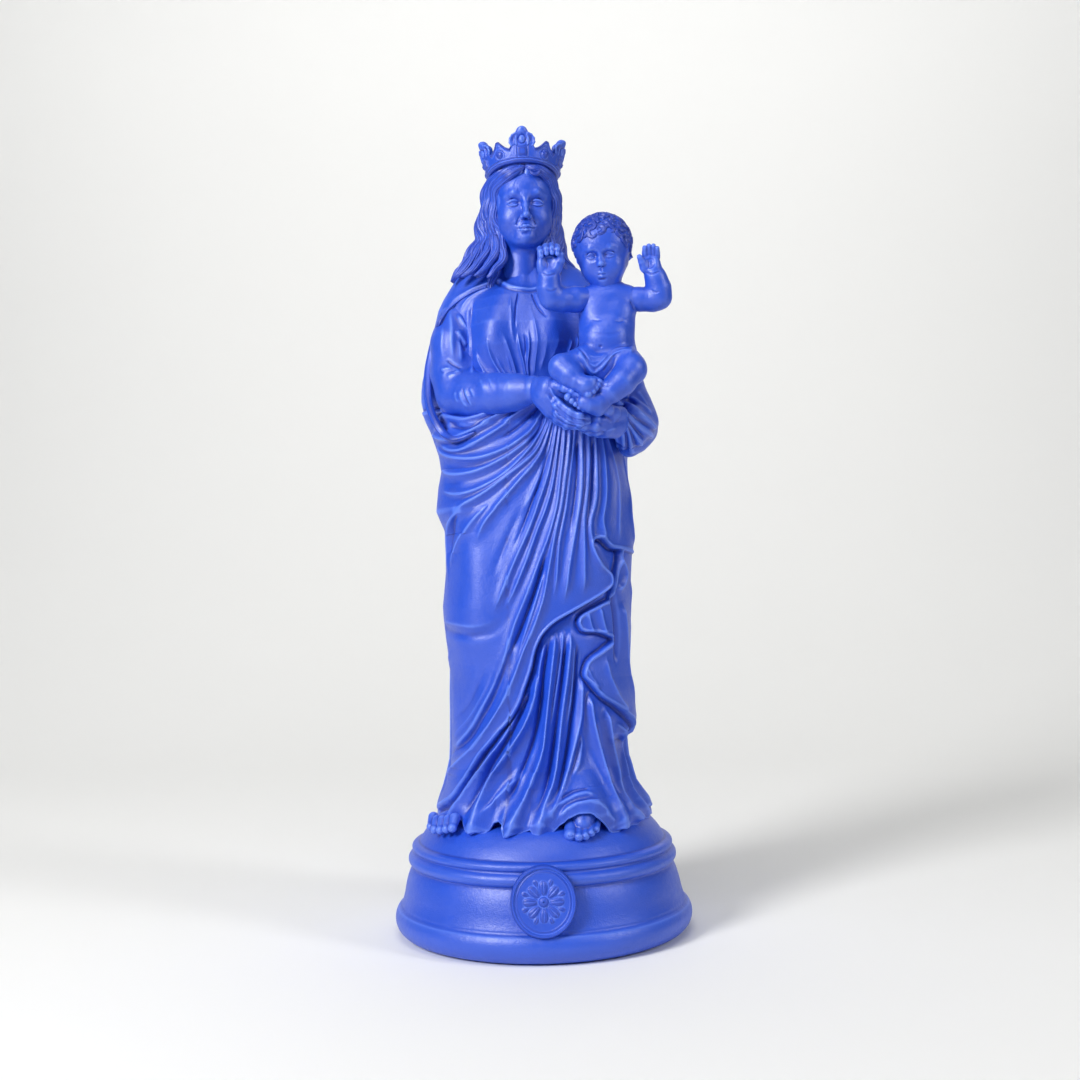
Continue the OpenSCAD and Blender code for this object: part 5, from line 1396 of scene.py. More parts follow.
LOCKS = [
    # viewer's left: along the face first, then outwards
    [(522, 166.5, -16.6, 0.9), (515.5, 171, -17.8, 1.5), (507, 176.5, -16.6, 2.0), (498.4, 184.5, -11.8, 2.3), (494.3, 195, -8.2, 2.4), (493, 208, -6.8, 2.4), (494.2, 221, -6.0, 2.4), (498, 234, -6.4, 2.5), (501.8, 247, -8.6, 2.6), (501, 260, -12.4, 2.4), (494.5, 271, -15.4, 1.7), (487, 277.5, -16.2, 0.7)],
    [(519.5, 165, -14.6, 1.0), (511, 169.5, -15.8, 1.7), (501.5, 175, -13.8, 2.1), (493.8, 184, -8.9, 2.4), (489.6, 195, -5.2, 2.6), (488.4, 208, -3.8, 2.6), (490.6, 221, -3.2, 2.6), (495, 234, -4.6, 2.7), (496.8, 247, -7.6, 2.7), (493, 259.5, -11.0, 2.5), (485, 270.5, -13.6, 1.9), (476.5, 277.5, -14.0, 0.8)],
    [(511, 167, -10.6, 1.2), (501, 172.5, -10.6, 1.8), (493.2, 180, -6.6, 2.3), (488.8, 190, -2.8, 2.6), (486, 201, -0.8, 2.7), (485.6, 214, -0.2, 2.7), (488.5, 227, -1.0, 2.7), (492, 240, -3.8, 2.9), (489.6, 253, -7.0, 2.8), (481.4, 265, -9.8, 2.3), (471, 274.5, -10.6, 0.9)],
    [(503, 170, -6.6, 1.2), (495, 176.5, -5.0, 1.9), (489.8, 184, -1.6, 2.4), (486, 194, 1.0, 2.8), (485.2, 206, 2.0, 2.8), (484, 217.5, 2.2, 2.9), (482.6, 229, 1.4, 2.9), (485.8, 241, -0.6, 3.0), (483, 253, -3.4, 3.0), (474.5, 264.5, -5.6, 2.6), (464.5, 275, -6.4, 1.0)],
    [(497.5, 173, -2.0, 1.2), (491.6, 179.5, -0.8, 2.0), (488.4, 188, 2.6, 2.5), (486.4, 198, 4.4, 2.7), (486.6, 210, 5.0, 2.9), (483.2, 222.5, 5.0, 2.9), (480.4, 234, 4.2, 3.0), (481, 245.5, 2.2, 3.1), (474.6, 257, 0.4, 3.0), (466.4, 266.5, -0.8, 2.4), (459, 277, -1.2, 0.8)],
    [(496.5, 174, 4.4, 1.2), (491.4, 180.5, 5.6, 2.1), (488.8, 191, 7.2, 2.6), (487.6, 203, 8.6, 2.8), (485, 216, 8.8, 2.9), (481.8, 229, 8.4, 3.0), (479.8, 242, 7.4, 3.1), (473, 254.5, 6.0, 3.1), (464.4, 266, 5.2, 2.8), (457.6, 275, 5.0, 2.1), (452.6, 283, 5.0, 0.8)],
    # viewer's right
    [(523.5, 166.5, -16.6, 0.9), (530.5, 168.8, -17.8, 1.5), (540, 173.5, -16.2, 1.9), (547.6, 182, -12.0, 2.1), (551.6, 193, -8.6, 2.2), (552.8, 206, -7.0, 2.3), (552.2, 220, -6.0, 2.4), (549.4, 233, -6.0, 2.5), (546.4, 246, -7.4, 2.5), (546.6, 259, -10.2, 2.3), (551, 271, -12.4, 1.0)],
    [(526, 165, -14.6, 1.0), (535.5, 168, -15.4, 1.6), (545.4, 173.5, -13.0, 2.0), (551.4, 182.5, -8.6, 2.3), (554.6, 194, -5.4, 2.5), (555.6, 208, -4.2, 2.6), (555.6, 222, -3.4, 2.6), (553.2, 236, -3.6, 2.8), (550, 250, -5.2, 2.6), (551.4, 264, -8.0, 2.1), (557, 277, -9.4, 0.9)],
    [(537, 167, -10.6, 1.2), (546.4, 172, -9.2, 1.8), (552, 180, -5.2, 2.3), (554.6, 191, -2.0, 2.6), (555.6, 205, -0.8, 2.7), (557.2, 219, -0.4, 2.7), (557.6, 233, -0.6, 2.9), (556.2, 247, -1.8, 2.8), (555.2, 261, -3.4, 2.4), (560, 275, -4.6, 1.0)],
    [(546, 171, -5.6, 1.2), (551, 177, -3.0, 1.9), (553.6, 186.5, 0.4, 2.5), (554.6, 198, 2.6, 2.7), (555.8, 212, 3.4, 2.8), (557.6, 226, 3.4, 2.9), (558.8, 240, 2.8, 3.0), (558, 253, 1.6, 2.9), (561, 265, 0.6, 2.4), (568.5, 277, 0.2, 1.0)],
    [(549.4, 174, 1.8, 1.2), (552.4, 180, 2.8, 2.0), (553.4, 191, 5.6, 2.5), (554.4, 204, 7.0, 2.7), (555.6, 218, 7.4, 2.8), (557.4, 232, 7.0, 3.0), (560, 246, 6.2, 3.0), (564.6, 258.5, 5.4, 2.7), (571.5, 270, 5.0, 2.0), (579, 281, 5.2, 0.9)],
    # shorter tapering locks that fill between them at the left shoulder
    [(494, 236, -8.4, 0.9), (496, 249, -10.6, 1.8), (490.5, 261, -13.6, 2.0), (481, 271, -15.4, 1.3), (474, 276, -15.6, 0.4)],
    [(488, 240, -5.4, 1.0), (486.5, 252, -8.4, 2.1), (478.5, 263.5, -11.4, 2.3), (468.5, 272.5, -12.4, 1.6), (461, 277, -12.0, 0.5)],
    [(481, 243, -1.6, 1.0), (478, 254.5, -4.6, 2.2), (469.5, 265.5, -7.0, 2.4), (460.5, 274, -7.6, 1.5), (455.5, 278.5, -7.2, 0.5)],
    [(476, 245, 2.6, 1.0), (471, 256.5, 0.4, 2.2), (462.5, 268, -1.0, 2.3), (455, 276, -1.2, 1.4), (451.2, 282, -0.6, 0.5)],
    # fine loose strands over the forehead band and the sides
    [(520.5, 167.5, -18.4, 0.3), (513.5, 171.5, -19.0, 0.6), (505.5, 176.5, -17.8, 0.65), (499, 182.5, -14.6, 0.35)],
    [(516.5, 167.2, -16.6, 0.3), (509, 170.2, -17.2, 0.65), (501.5, 174.3, -15.4, 0.65), (494.8, 181, -11.2, 0.35)],
    [(527, 168.2, -18.6, 0.3), (533, 169.3, -19.2, 0.6), (539.5, 172.3, -18.0, 0.6), (545.4, 178.4, -14.8, 0.35)],
    [(526.5, 170.2, -18.4, 0.4), (530.0, 174.0, -19.4, 0.8), (534.4, 174.6, -19.2, 0.9), (537.2, 171.4, -18.6, 0.8), (535.0, 168.9, -18.2, 0.6), (532.0, 170.2, -18.8, 0.4)],
    [(541.0, 174.5, -17.2, 0.4), (545.0, 178.5, -15.4, 0.8), (548.2, 178.2, -13.0, 0.9), (549.2, 174.6, -12.2, 0.7), (546.6, 172.6, -13.6, 0.4)],
    [(487.5, 187, -1.5, 0.4), (484.0, 200, 0.6, 0.8), (483.2, 213, 1.8, 0.9), (480.2, 226, 2.0, 0.9), (478.6, 238, 2.0, 0.8), (477, 248, 1.0, 0.4)],
    [(496.5, 205, -8.0, 0.35), (496.8, 219, -7.6, 0.7), (499.8, 232, -8.0, 0.8), (503.6, 245, -9.8, 0.8), (504.6, 256, -12.6, 0.7), (501, 266, -15.0, 0.3)],
]


def back_locks():
    out = []
    r = np.random.default_rng(5)
    zs = np.array([380.5, 374.0, 366.0, 356.0, 346.0, 336.0, 327.0, 318.0, 308.0, 298.0])
    Rs = np.array([10.0, 14.8, 17.6, 18.6, 18.2, 18.0, 19.5, 23.6, 26.0, 27.6])
    for i, th in enumerate(np.linspace(66, 294, 19)):
        a0 = math.radians(th)
        side = abs(math.cos(a0)) if abs(th - 180) > 55 else 0.0
        near_side = sm(60, 105, abs(th - 180))
        last = 9 if near_side < 0.25 else 8 if near_side < 0.6 else 7
        wob, ph = 0.05 + 0.03 * r.random(), r.random() * 6.28
        pts = []
        for j in range(last + 1):
            f = j / 9
            spread = 1 - 0.22 * sm(0.45, 0.9, f) * (1 - near_side)
            a = math.pi + (a0 - math.pi) * spread + wob * math.sin(j * 1.25 + ph) * (j > 1)
            R = Rs[j] - near_side * (1.6 if j < 6 else 2.5) + 0.35 * math.sin(j * 1.9 + ph)
            x, y = -2.8 + R * math.sin(a) * (0.97 if j < 6 else 1.0), 2.0 - R * math.cos(a)
            rad = (1.3, 2.1, 2.7, 3.0, 3.0, 3.0, 3.1, 3.0, 2.3, 0.9)[j]
            if j == last:
                rad = 0.9
            pts.append((x, y, zs[j] + (2.0 * math.sin(3.1 * i) if j == last else 0), rad))
        out.append(lock3(np.array(pts), 52, 6, 0.2, 1.15, 0.82, 0.6, r, wave=0.7, phase=0.5 * i))
    return out


parts = [lock(p, 64 if p[1][3] > 1 else 14, 6 if p[1][3] > 1 else 1, 0.2, 1.08, 0.88, 0.7, 20 + i, 0.75 if i < 11 else 0.4, 0.55 * (i if i < 6 else i - 6)) for i, p in enumerate(LOCKS)]
v, f = join(parts)
mesh_obj("front_locks", pose_head(v), f, BLUE, ["mother_head"])
v, f = join(back_locks())
mesh_obj("back_locks", pose_head(v), f, BLUE, ["mother_head"])

# ---------------------------------------------------------------- crown
CROWN_C = np.array([-2.0, -0.8, 377.7])
CROWN_TILT = turn("X", -15)
BIG = np.arange(5) * 72.0
SMALL = np.arange(5) * 72.0 + 36.0


def crown_r(h):
    h = np.maximum(h, 0)
    return 17.1 + 3.4 * (1 - np.exp(-h / 6.0)) + 0.5 * (h / 16) ** 2


def crown_wall():
    n = 560
    ph = np.linspace(0, 2 * math.pi, n, endpoint=False)      # 0 to the front
    deg = np.degrees(ph)

    def away(p):
        return np.abs((deg - p + 180) % 360 - 180)
    top = np.full(n, 6.0)
    small = np.min([away(p) for p in SMALL], 0)
    big = np.min([away(p) for p in BIG], 0)
    hump = 4.4 * np.exp(-(np.maximum(small - 1.5, 0) / 9.0) ** 1.35)
    rise = 4.0 * sm(22, 10, big)
    top = top + np.maximum(hump, rise) + 0.4 * np.exp(-(small / 3.0) ** 2)
    m = 44
    s = np.linspace(0, 1, m)[:, None]
    Z = s * top
    R = crown_r(Z) + 0.9 * np.exp(-(small / 7.0) ** 2) * sm(6.5, 10.5, Z) ** 1.4
    edge = top - Z
    keep = sm(13, 17, big)                                   # the rim's moulding stops at the fleurons
    rel = 0.55 * np.exp(-((Z - 0.65) / 0.45) ** 2) + 0.42 * np.exp(-((Z - 1.9) / 0.34) ** 2) - 0.15 * np.exp(-((Z - 1.3) / 0.25) ** 2)
    rel = rel + (0.75 * np.exp(-((edge - 0.5) / 0.45) ** 2) - 0.25 * np.exp(-((edge - 1.5) / 0.3) ** 2)) * keep * sm(2.8, 3.8, Z)
    for p in np.concatenate([BIG, SMALL]):
        dd = np.radians((deg - p + 180) % 360 - 180)[None, :] * 18.6
        zz = Z - 4.5
        if p in BIG:
            q = np.maximum(np.abs(dd), np.abs(zz))
            rel = rel + 0.95 * sm(2.05, 1.65, q) - 0.35 * np.exp(-((q - 2.35) / 0.22) ** 2) + 0.3 * np.exp(-((q - 2.75) / 0.2) ** 2)
        else:
            q = np.hypot(dd, zz)
            rel = rel + 1.2 * np.sqrt(np.clip(1 - (q / 1.9) ** 2, 0, 1)) - 0.3 * np.exp(-((q - 2.15) / 0.2) ** 2) + 0.3 * np.exp(-((q - 2.55) / 0.2) ** 2)
    Ro = R + rel
    outer = np.stack([Ro * np.sin(ph), -Ro * np.cos(ph), Z], -1)
    wall = 1.5
    rim = []
    for f, up in ((0.2, 0.28), (0.5, 0.38), (0.8, 0.28)):
        rr = Ro[-1] - wall * f
        rim.append(np.stack([rr * np.sin(ph), -rr * np.cos(ph), top + up], -1))
    si = np.linspace(1, 0, 16)[:, None]
    Zi = si * top
    Ri = crown_r(Zi) + 0.9 * np.exp(-(small / 7.0) ** 2) * sm(6.5, 10.5, Zi) ** 1.4 - wall
    inner = np.stack([Ri * np.sin(ph), -Ri * np.cos(ph), Zi], -1)
    rb = 17.1 - wall * 0.5
    bot = np.stack([rb * np.sin(ph), -rb * np.cos(ph), np.full(n, -0.35)], -1)
    v = np.concatenate([outer, np.array(rim), inner, bot[None], outer[:1]])
    q = grid_faces(len(v), n)
    return v.reshape(-1, 3), q[:, ::-1]


def fleuron():
    """Three-lobed ornament of the crown in its own flat frame (x along the wall, y outwards, z up)."""
    F = Field((-8.0, -3.5, 3.5), (8.0, 3.5, 20.5), 0.23)

    def lobe(x, z, r, t=1.35, k=0.7):
        F.ball((x, 0, z), (r, t, r), k)
    F.ball((0, 0, 7.6), (4.4, 1.3, 3.6), 1.0)
    lobe(-3.7, 9.4, 2.6, 1.7)
    lobe(3.7, 9.4, 2.6, 1.7)
    lobe(-2.4, 11.0, 2.3, 1.7)
    lobe(2.4, 11.0, 2.3, 1.7)
    lobe(-4.3, 7.8, 1.8, 1.5)
    lobe(4.3, 7.8, 1.8, 1.5)
    F.cone((0, 0, 9), (0, 0.1, 12.6), 3.2, 2.6, 0.8, flat=0.55, axis=(0, 1, 0))
    F.ball((0, 0.0, 13.2), (2.75, 2.1, 2.7), 0.7)
    F.ball((0, -0.4, 14.6), (1.8, 1.7, 1.3), 0.7)
    # raised border of the shoulders and the sunken panel inside it
    for s in (-1, 1):
        F.chain([((s * 5.1, -1.2, 6.8), 0.55), ((s * 5.7, -1.3, 8.4), 0.6), ((s * 5.4, -1.4, 10.1), 0.62), ((s * 4.2, -1.5, 11.4), 0.62), ((s * 2.6, -1.6, 12.2), 0.55)], 0.35)
        F.ball((s * 3.9, -2.1, 9.2), (1.15, 0.8, 2.0), 0.3, cut=True)
        F.chain([((s * 2.75, -1.4, 7.0), 0.4), ((s * 3.0, -1.6, 9.2), 0.45), ((s * 2.4, -1.6, 11.3), 0.4)], 0.3)
    F.ball((0, -1.7, 9.4), (2.2, 0.8, 2.6), 0.25, cut=True)
    F.ball((0, -1.5, 9.4), (1.45, 1.0, 1.85), 0.2)
    F.cone((-1.7, -2.2, 12.2), (1.7, -2.2, 12.2), 0.3, 0.3, 0.3, cut=True)
    return F.mesh(2)


def place_crown(v):
    return v @ CROWN_TILT.T + CROWN_C


v, q = crown_wall()
mesh_obj("crown_wall", place_crown(v), q, BLUE, ["crown"])
v, q = fleuron()
zz = v[:, 2]
rad = crown_r(zz) - 0.9 - v[:, 1] * (1 + 0.25 * sm(9, 14, zz)) + 0.7 * sm(10, 15, zz)    # leans out with the wall, bent round it
ang = v[:, 0] / 19.0
for i, p in enumerate(BIG):
    a = ang + math.radians(p)
    w = np.stack([rad * np.sin(a), -rad * np.cos(a), zz + 1.0], 1)
    mesh_obj("crown_fleuron.%d" % (i + 1), place_crown(w), q, BLUE, ["crown"])


# ---------------------------------------------------------------- head of the child
KC = P(602, 241.8, -41)                                       # middle of the skull
KTURN = turn("Z", -9) @ turn("Y", -2.5) @ turn("X", 12)


def child_face():
    F = Field((-16.5, -18, -33), (16.5, 18.5, 16), 0.25)
    F.ball((0, 1.2, -0.2), (13.7, 14.2, 13.4), 2)
    F.ball((0, -4.0, -1.8), (12.0, 9.8, 10.0), 5)
    F.ball((0, -4.2, -10.4), (9.9, 8.8, 10.2), 5)
    for s in (-1, 1):
        F.ball((5.1 * s, -8.4, -12.4), (4.4, 4.4, 4.5), 4)
        F.cone((6.6 * s, -1, -10.6), (2.8 * s, -8.3, -17.2), 3.2, 2.8, 4)
    F.ball((0, -10.4, -18.6), (2.6, 2.3, 2.3), 2.5)
    F.ball((0, -10.8, -14.4), (3.9, 3.1, 3.2), 3)
    F.ball((0, 4.6, -7.6), (10.6, 9.4, 9.6), 5)               # back of the skull, rounding in to the nape
    F.cone((0.6, 1.8, -12), (1.0, -4.4, -24), 6.8, 6.2, 4)
    for s in (-1, 1):
        F.ball((4.2 * s, -14.3, -5.8), (3.1, 2.2, 2.0), 1.8, cut=True)
        F.cone((1.9 * s, -12.9, -3.2), (4.6 * s, -12.9, -2.5), 0.6, 0.65, 2.0)
        F.cone((4.6 * s, -12.9, -2.5), (7.2 * s, -11.3, -3.3), 0.65, 0.5, 2.0)
        ex, ey, ez, er = 4.2 * s, -10.3, -6.1, 2.55
        F.ball((ex, ey, ez), er, 0.25)

        def lid(h0, up, rad, k, cut=False, half=2.5, lift=0.1, drop=0.0):
            pts = []
            for t in np.linspace(-1, 1, 9):
                x = half * t
                z = h0 + up * (1 - t * t) - drop * t * s
                y = -math.sqrt(max((er + lift) ** 2 - (x * 0.92) ** 2 - z * z, 0.25))
                pts.append(((ex + x, ey + y, ez + z), rad * (1 - 0.4 * abs(t) ** 3)))
            for (a, ra), (b, rb) in zip(pts[:-1], pts[1:]):
                F.cone(a, b, ra, rb, k, cut=cut)
        lid(0.0, 1.2, 0.42, 0.3, drop=0.12)
        lid(-0.1, -0.85, 0.34, 0.3, drop=0.12)
        lid(0.75, 1.4, 0.2, 0.3, cut=True, half=2.3, lift=0.38)
        # ears
        F.ball((12.0 * s, 2.2, -7.0), (1.4, 2.2, 3.0), 0.6, rot=turn("Z", -18 * s))
        F.ball((13.1 * s, 1.4, -6.7), (0.7, 1.2, 1.8), 0.4, cut=True)
    F.cone((0, -12.9, -4.6), (0, -14.0, -9.2), 0.85, 1.15, 1.6)
    F.ball((0, -14.4, -9.8), (1.5, 1.35, 1.25), 0.8)
    for s in (-1, 1):
        F.ball((1.4 * s, -13.3, -10.2), (0.95, 1.2, 0.9), 0.5)
        F.ball((0.75 * s, -14.2, -11.0), (0.42, 0.6, 0.32), 0.25, cut=True)
        F.cone((2.2 * s, -13.0, -10.2), (3.7 * s, -12.2, -13.6), 0.22, 0.16, 0.9, cut=True)
    F.cone((0, -14.3, -11.7), (0, -14.3, -12.9), 0.26, 0.28, 0.4, cut=True)
    F.chain([((-2.7, -12.7, -14.6), 0.2), ((-1.5, -13.6, -14.1), 0.5), ((-0.6, -13.9, -13.8), 0.6), ((0, -13.95, -13.95), 0.6), ((0.6, -13.9, -13.8), 0.6), ((1.5, -13.6, -14.1), 0.5), ((2.7, -12.7, -14.6), 0.2)], 0.4)
    F.chain([((-2.4, -12.8, -14.9), 0.2), ((-1.2, -13.5, -15.4), 0.6), ((0, -13.7, -15.6), 0.8), ((1.2, -13.5, -15.4), 0.6), ((2.4, -12.8, -14.9), 0.2)], 0.4)
    sl = [(-2.9, -12.9, -14.7), (-1.4, -14.1, -14.75), (0, -14.6, -14.85), (1.4, -14.1, -14.75), (2.9, -12.9, -14.7)]
    for a, b in zip(sl[:-1], sl[1:]):
        F.cone(a, b, 0.18, 0.18, 0.25, cut=True)
    F.ball((0, -13.6, -17.0), (1.8, 0.8, 0.5), 0.7, cut=True)
    return F


def place_kid(v):
    return v @ KTURN.T + KC


KID = child_face()
v, q = KID.mesh(2)
mesh_obj("child_face", place_kid(v), q, BLUE, ["child_head"])


def curls():
    """Small comma curls in rings over the scalp."""
    r = np.random.default_rng(3)
    parts = []
    C = np.array([0, 1.2, -0.2])
    R = np.array([13.75, 14.25, 13.45])
    n = 186
    for i in range(n):
        zf = 1 - (i + 0.5) / n * 1.84
        th = i * 2.39996
        rad = math.sqrt(max(0, 1 - zf * zf))
        d = np.array([rad * math.sin(th), -rad * math.cos(th), zf])
        az = abs(math.degrees(math.atan2(d[0], -d[1])))      # 0 at the face
        line = 0.30 if az < 26 else 0.30 - (az - 26) / 36 * 0.52 if az < 62 else -0.22 - (az - 62) / 40 * 0.3 if az < 102 else -0.55 - (az - 102) / 30 * 0.3 if az < 132 else -0.85
        if zf < line or zf < (-0.64 if az < 118 else -0.86):
            continue
        t1 = np.cross(d, (0.0, 0.0, 1.0))
        t1 /= max(np.linalg.norm(t1), 1e-6)
        t2 = np.cross(d, t1)
        size = 1.9 + 1.0 * r.random()
        a0 = r.random() * 6.28
        sgn = 1 if r.random() < 0.55 else -1
        a = np.linspace(0, 4.4 + 1.4 * r.random(), 26)
        rr = size * (1 - 0.125 * a)
        o = (np.cos(a0 + sgn * a) * rr)[:, None] * t1 + (np.sin(a0 + sgn * a) * rr)[:, None] * t2
        e = C + (d * R + o) / np.sqrt(np.sum(((d * R + o) / R) ** 2, axis=1))[:, None]
        for _ in range(3):                                   # settle on the scalp
            g = np.stack([KID.sample(e + np.eye(3)[j] * 0.2) - KID.sample(e - np.eye(3)[j] * 0.2) for j in range(3)], 1) / 0.4
            g /= np.maximum(np.linalg.norm(g, axis=1, keepdims=True), 0.3)
            e = e - (KID.sample(e) - 0.02)[:, None] * g
        w = np.linspace(0, 1, len(a))
        rk = 0.86 * np.sin(math.pi * np.minimum(1, 0.12 + 0.88 * w)) ** 0.6 * (1.05 - 0.35 * w) + 0.12

        def groove(t, phi, ph=r.random() * 6):
            return 1.0 + 0.2 * np.cos(4 * phi + ph)
        parts.append(tube(e, rk, 14, groove, (1.3, 0.8), up=d))
    return join(parts)


v, f = curls()
mesh_obj("child_curls", place_kid(v), f, BLUE, ["child_head"])


# ---------------------------------------------------------------- body of the child
def child_torso():
    F = Field((6, -78, 246), (64, -24, 322), 0.34)
    F.ball(P(608, 307, -42), (13.4, 8.8, 10.0), 3)
    F.ball(P(607, 322, -43), (13.2, 9.2, 9.0), 4)
    F.ball(P(606.5, 336, -44.5), (13.2, 10.4, 10.5), 4)
    F.ball(P(608, 352, -43.5), (13.6, 10.0, 8.0), 4)
    F.cone(P(608, 300, -41), P(607, 284, -41), 6.6, 6.2, 4)
    F.cone(P(586, 298.5, -43), P(628, 297.5, -42), 5.6, 5.6, 5)
    for s, px in ((-1, 597), (1, 619)):                     # soft chest
        F.ball(P(px, 313, -48.2), (5.0, 2.9, 4.4), 4)
    F.ball(P(606.5, 340, -51.5), (8.5, 4.2, 8.0), 5)         # round belly
    F.ball(P(600.5, 346, -56.6), (0.9, 1.3, 0.7), 0.7, cut=True)
    # right leg, bent out to the viewer's left, its foot crossing in front
    F.chain([(P(597, 362, -45), 8.2), (P(580, 365.5, -52), 7.2), (P(562.5, 367.3, -57), 6.0)], 4)
    F.chain([(P(562, 368, -57), 5.9), (P(570, 375, -60.5), 5.1), (P(577, 381, -62.5), 4.1)], 3)
    F.chain([(P(578.5, 382.5, -62.8), 3.9), (P(586, 385, -64.2), 3.9), (P(590.5, 384.5, -64.2), 3.7)], 2)
    F.ball(P(586.5, 386.5, -64.5), (4.4, 3.2, 3.6), 1.5)
    for px, py, y, r in ((599.2, 381.3, -64.4, 1.25), (597.4, 384.4, -65.0, 1.3), (595.2, 387.4, -65.4, 1.38), (592.4, 390.4, -65.6, 1.5), (587.8, 393.4, -65.4, 1.95)):
        F.cone(P(px - 5.0, py - 2.6, y + 1.0), P(px, py, y), r, r * 0.95, 0.4)
        F.ball(P(px + 0.3, py + 0.2, y - 0.3), r * 1.1, 0.3)
    # left leg, drawn up, its foot lying in the hand
    F.chain([(P(617, 362, -45), 8.6), (P(626, 365.5, -51), 7.5), (P(631.5, 368.5, -55), 6.9)], 4)
    F.chain([(P(631, 371, -56.5), 6.6), (P(621.5, 382, -60), 6.1), (P(611.5, 390.8, -61), 5.1), (P(604, 396.6, -60), 4.2)], 3)
    F.chain([(P(602, 400, -60), 4.2), (P(596.5, 403.5, -61.2), 4.2), (P(589.5, 403.2, -62), 4.0), (P(583.5, 402.2, -62), 3.3)], 2)
    F.ball(P(598, 408.6, -59.8), (3.8, 3.8, 3.6), 2)
    for px, py, y, r in ((568.6, 396.9, -61.8, 1.7), (572.6, 400.6, -62.2, 1.38), (576.3, 403.8, -62.2, 1.32), (580.1, 406.7, -61.9, 1.25), (583.9, 409.2, -61.2, 1.15)):
        F.cone(P(px + 7.0, py - 1.2, y + 0.2), P(px, py, y), r * 1.05, r * 0.95, 0.3)
        F.ball(P(px - 0.4, py + 0.1, y - 0.4), r * 1.12, 0.25)
    F.ball(P(597, 373.5, -54), (6.0, 5.0, 5.0), 3)
    # a crease at the groin, and a raised V-shaped roll of cloth below the belly
    F.cone(P(604.5, 368, -61.5), P(613.5, 355, -58.5), 0.6, 0.5, 1.2, cut=True)
    F.chain([(P(583, 357, -51.5), 4.0), (P(593, 366, -54), 4.4), (P(603, 365, -54), 4.4), (P(612, 357, -52), 4.0)], 3)
    v, q = F.mesh(3)
    folds = [([(578, 351), (583.5, 359.5), (588, 367), (593.8, 372.5), (600, 368.8), (606.9, 361.9), (615, 353.8), (625.6, 350.4), (634, 351.8)], dict(amp=0.8, left=0.7, e=0.5, ends=(0.05, 0.05))),
             ([(583.5, 352.5), (588, 359), (591.5, 364.5), (596, 366), (601.5, 361.5), (607.5, 355), (616, 349), (630, 347.4)], dict(amp=0.5, left=0.6, e=0.4, ends=(0.15, 0.1))),
             ([(586.5, 354.5), (594, 357), (602, 356.2), (609, 351.6)], dict(amp=0.35, left=0.6, ends=(0.3, 0.3))),
             ([(589, 360.5), (595, 362.4), (602, 359.6)], dict(amp=0.3, left=0.6, ends=(0.3, 0.3))),
             ([(588.5, 378.5), (594, 379), (600, 378.5)], dict(amp=0.25, left=0.6, ends=(0.3, 0.3)))]
    grooves = [([(577.5, 347.5), (584, 353.5), (589.5, 361.5), (593.5, 365.5)], dict(amp=0.45, w=0.4, ends=(0.1, 0.3))),
               ([(602.5, 371.5), (607.5, 363.5), (613, 356.5), (620, 352)], dict(amp=0.5, w=0.45, ends=(0.1, 0.3))),
               ([(604, 358.5), (611, 351.5), (619, 347.2), (633, 345.6)], dict(amp=0.35, w=0.4, ends=(0.3, 0.1))),
               ([(582, 312), (583, 305), (585.5, 299)], dict(amp=0.5, w=0.6, ends=(0.2, 0.4))), ([(634.5, 311), (632, 304), (629, 299)], dict(amp=0.5, w=0.6, ends=(0.2, 0.4))),
               ([(596, 288), (602, 290), (610, 289.6), (615, 287)], dict(amp=0.12, w=0.6, ends=(0.3, 0.3))),
               ([(590, 318.5), (597, 320.4), (604, 319)], dict(amp=0.25, w=0.6, ends=(0.4, 0.4))), ([(613, 320), (620, 321.4), (627, 318.5)], dict(amp=0.25, w=0.6, ends=(0.4, 0.4))),
               ([(583, 331), (596, 333.5), (610, 334), (626, 331)], dict(amp=0.18, w=0.8, ends=(0.3, 0.3))),
               ([(601.5, 386), (607, 386), (612, 383.5)], dict(amp=0.25, w=0.5, ends=(0.2, 0.4)))]
    v, n = view_relief(v, q, folds, grooves, px=0.477)
    return v + n * (0.06 * noise_field(v, 9, 8))[:, None], q


v, q = child_torso()
mesh_obj("child_body_sculpt", v, q, BLUE, ["child_body"])


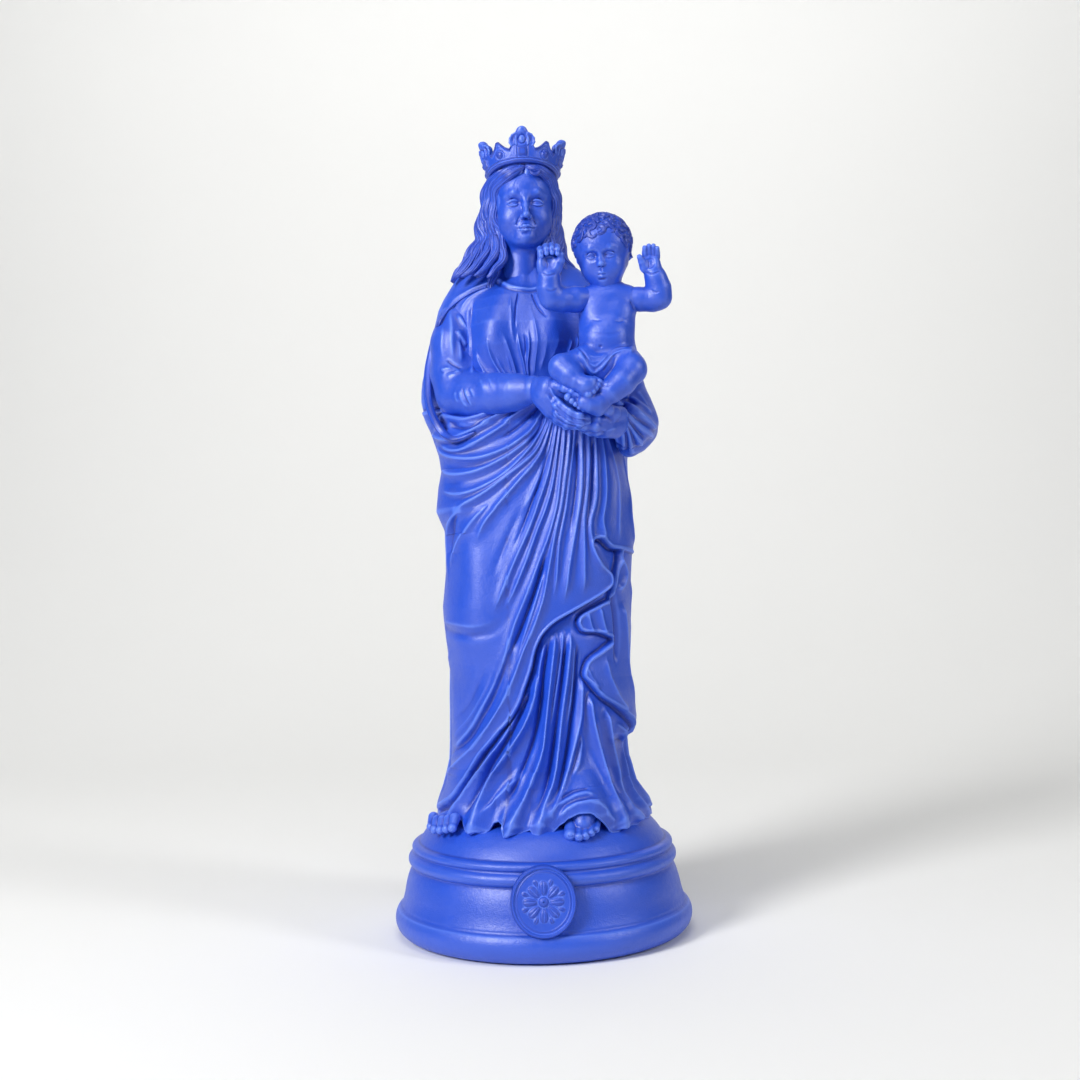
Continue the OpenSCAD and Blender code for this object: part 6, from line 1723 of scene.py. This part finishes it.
def child_right_arm():
    F = Field((-8, -68, 286), (38, -30, 350), 0.26)
    F.chain([(P(590, 298.5, -43), 5.5), (P(575, 299.5, -46.5), 5.7), (P(561, 300, -49), 5.4), (P(551.5, 298.5, -50.5), 5.2)], 2.5)
    F.chain([(P(551, 297.5, -50.5), 5.2), (P(549, 288, -51.2), 5.3), (P(549, 277, -51.8), 4.75), (P(549.2, 270.5, -52), 4.3)], 2.5)
    # palm towards the front, with the fingers curling over
    F.ball(P(549, 262.5, -52.6), (5.5, 3.4, 5.6), 2.0)
    F.ball(P(541.6, 265, -54.4), (2.3, 2.2, 4.4), 1.4)
    F.ball(P(556.4, 266, -54.6), (2.9, 2.3, 3.8), 1.4)
    F.ball(P(549, 262, -57.2), (2.9, 1.6, 3.1), 1.2, cut=True)
    for i, (px, top) in enumerate(((540.4, 249.5), (545.8, 246.8), (551.4, 246.0), (556.8, 247.2))):
        F.cone(P(px + (0.6, 0.3, 0, -0.4)[i], 257, -52.6), P(px, top, -54.2), 1.75, 1.65, 0.5)
        F.cone(P(px, top, -54.2), P(px + 0.4, top + 2.6, -57.2), 1.62, 1.45, 0.35)
        F.cone(P(px + 0.4, top + 2.6, -57.2), P(px + 0.7, top + 6.4, -57.6), 1.4, 1.15, 0.3)
    F.chain([(P(557, 267.5, -54.2), 2.3), (P(560.6, 260.5, -55.2), 1.9), (P(560.6, 254.6, -56.2), 1.5)], 0.6)
    v, q = F.mesh(2)
    g = [([(541.5, 272.5), (548, 275.5), (556.5, 273)], dict(amp=0.35, w=0.4, ends=(0.2, 0.2))),
         ([(544.5, 258.5), (547.5, 263.5), (547, 270)], dict(amp=0.25, w=0.35, ends=(0.3, 0.3))),
         ([(543, 261), (549, 257.5), (555, 259)], dict(amp=0.25, w=0.35, ends=(0.3, 0.3))),
         ([(545, 289), (551, 291), (558, 288.5)], dict(amp=0.3, w=0.5, ends=(0.3, 0.3)))]
    return view_relief(v, q, [], g, px=0.47)[0], q


def child_left_arm():
    F = Field((38, -64, 286), (76, -28, 348), 0.26)
    F.chain([(P(622, 298, -42), 5.5), (P(640, 299.3, -43), 5.3), (P(653, 299.8, -44), 5.2), (P(659.5, 298, -45), 5.25)], 2.5)
    F.chain([(P(660, 296.5, -45), 5.2), (P(659.2, 288, -45.6), 5.2), (P(655.6, 277.5, -46.4), 4.7), (P(652.6, 270, -46.8), 4.2)], 2.5)
    F.ball(P(650.4, 263.5, -47.2), (4.6, 2.7, 5.0), 1.8)
    F.ball(P(643.8, 265.5, -48.4), (2.2, 2.0, 3.4), 1.2)
    F.ball(P(655.6, 264.5, -48.4), (2.0, 2.0, 4.0), 1.2)
    F.ball(P(650, 262.5, -50.8), (2.2, 1.2, 2.7), 1.0, cut=True)
    for px, py, qx, qy in ((645.2, 257, 644.6, 247.6), (649.4, 255.5, 648.8, 245.8), (653.6, 255.5, 653.4, 245.8), (657.0, 257, 657.2, 248.4)):
        F.cone(P(px, py, -47.6), P((px + qx) / 2, (py + qy) / 2, -48.4), 1.55, 1.4, 0.35)
        F.cone(P((px + qx) / 2, (py + qy) / 2, -48.4), P(qx, qy, -49.6), 1.4, 1.12, 0.25)
    F.chain([(P(645.4, 268, -48), 2.1), (P(642, 262, -49.2), 1.7), (P(639.4, 256.8, -50), 1.25)], 0.5)
    v, q = F.mesh(2)
    g = [([(645, 272), (652, 274), (661, 270.5)], dict(amp=0.35, w=0.4, ends=(0.2, 0.2))),
         ([(647.5, 259), (649, 264), (648.4, 269.5)], dict(amp=0.22, w=0.3, ends=(0.3, 0.3))),
         ([(645.8, 261.5), (651, 258.8), (656, 260)], dict(amp=0.22, w=0.3, ends=(0.3, 0.3))),
         ([(650, 289.5), (655, 292), (661, 291)], dict(amp=0.3, w=0.5, ends=(0.3, 0.3)))]
    return view_relief(v, q, [], g, px=0.47)[0], q


v, q = child_right_arm()
mesh_obj("child_right_arm_sculpt", v, q, BLUE, ["child_right_arm"])
v, q = child_left_arm()
mesh_obj("child_left_arm_sculpt", v, q, BLUE, ["child_left_arm"])
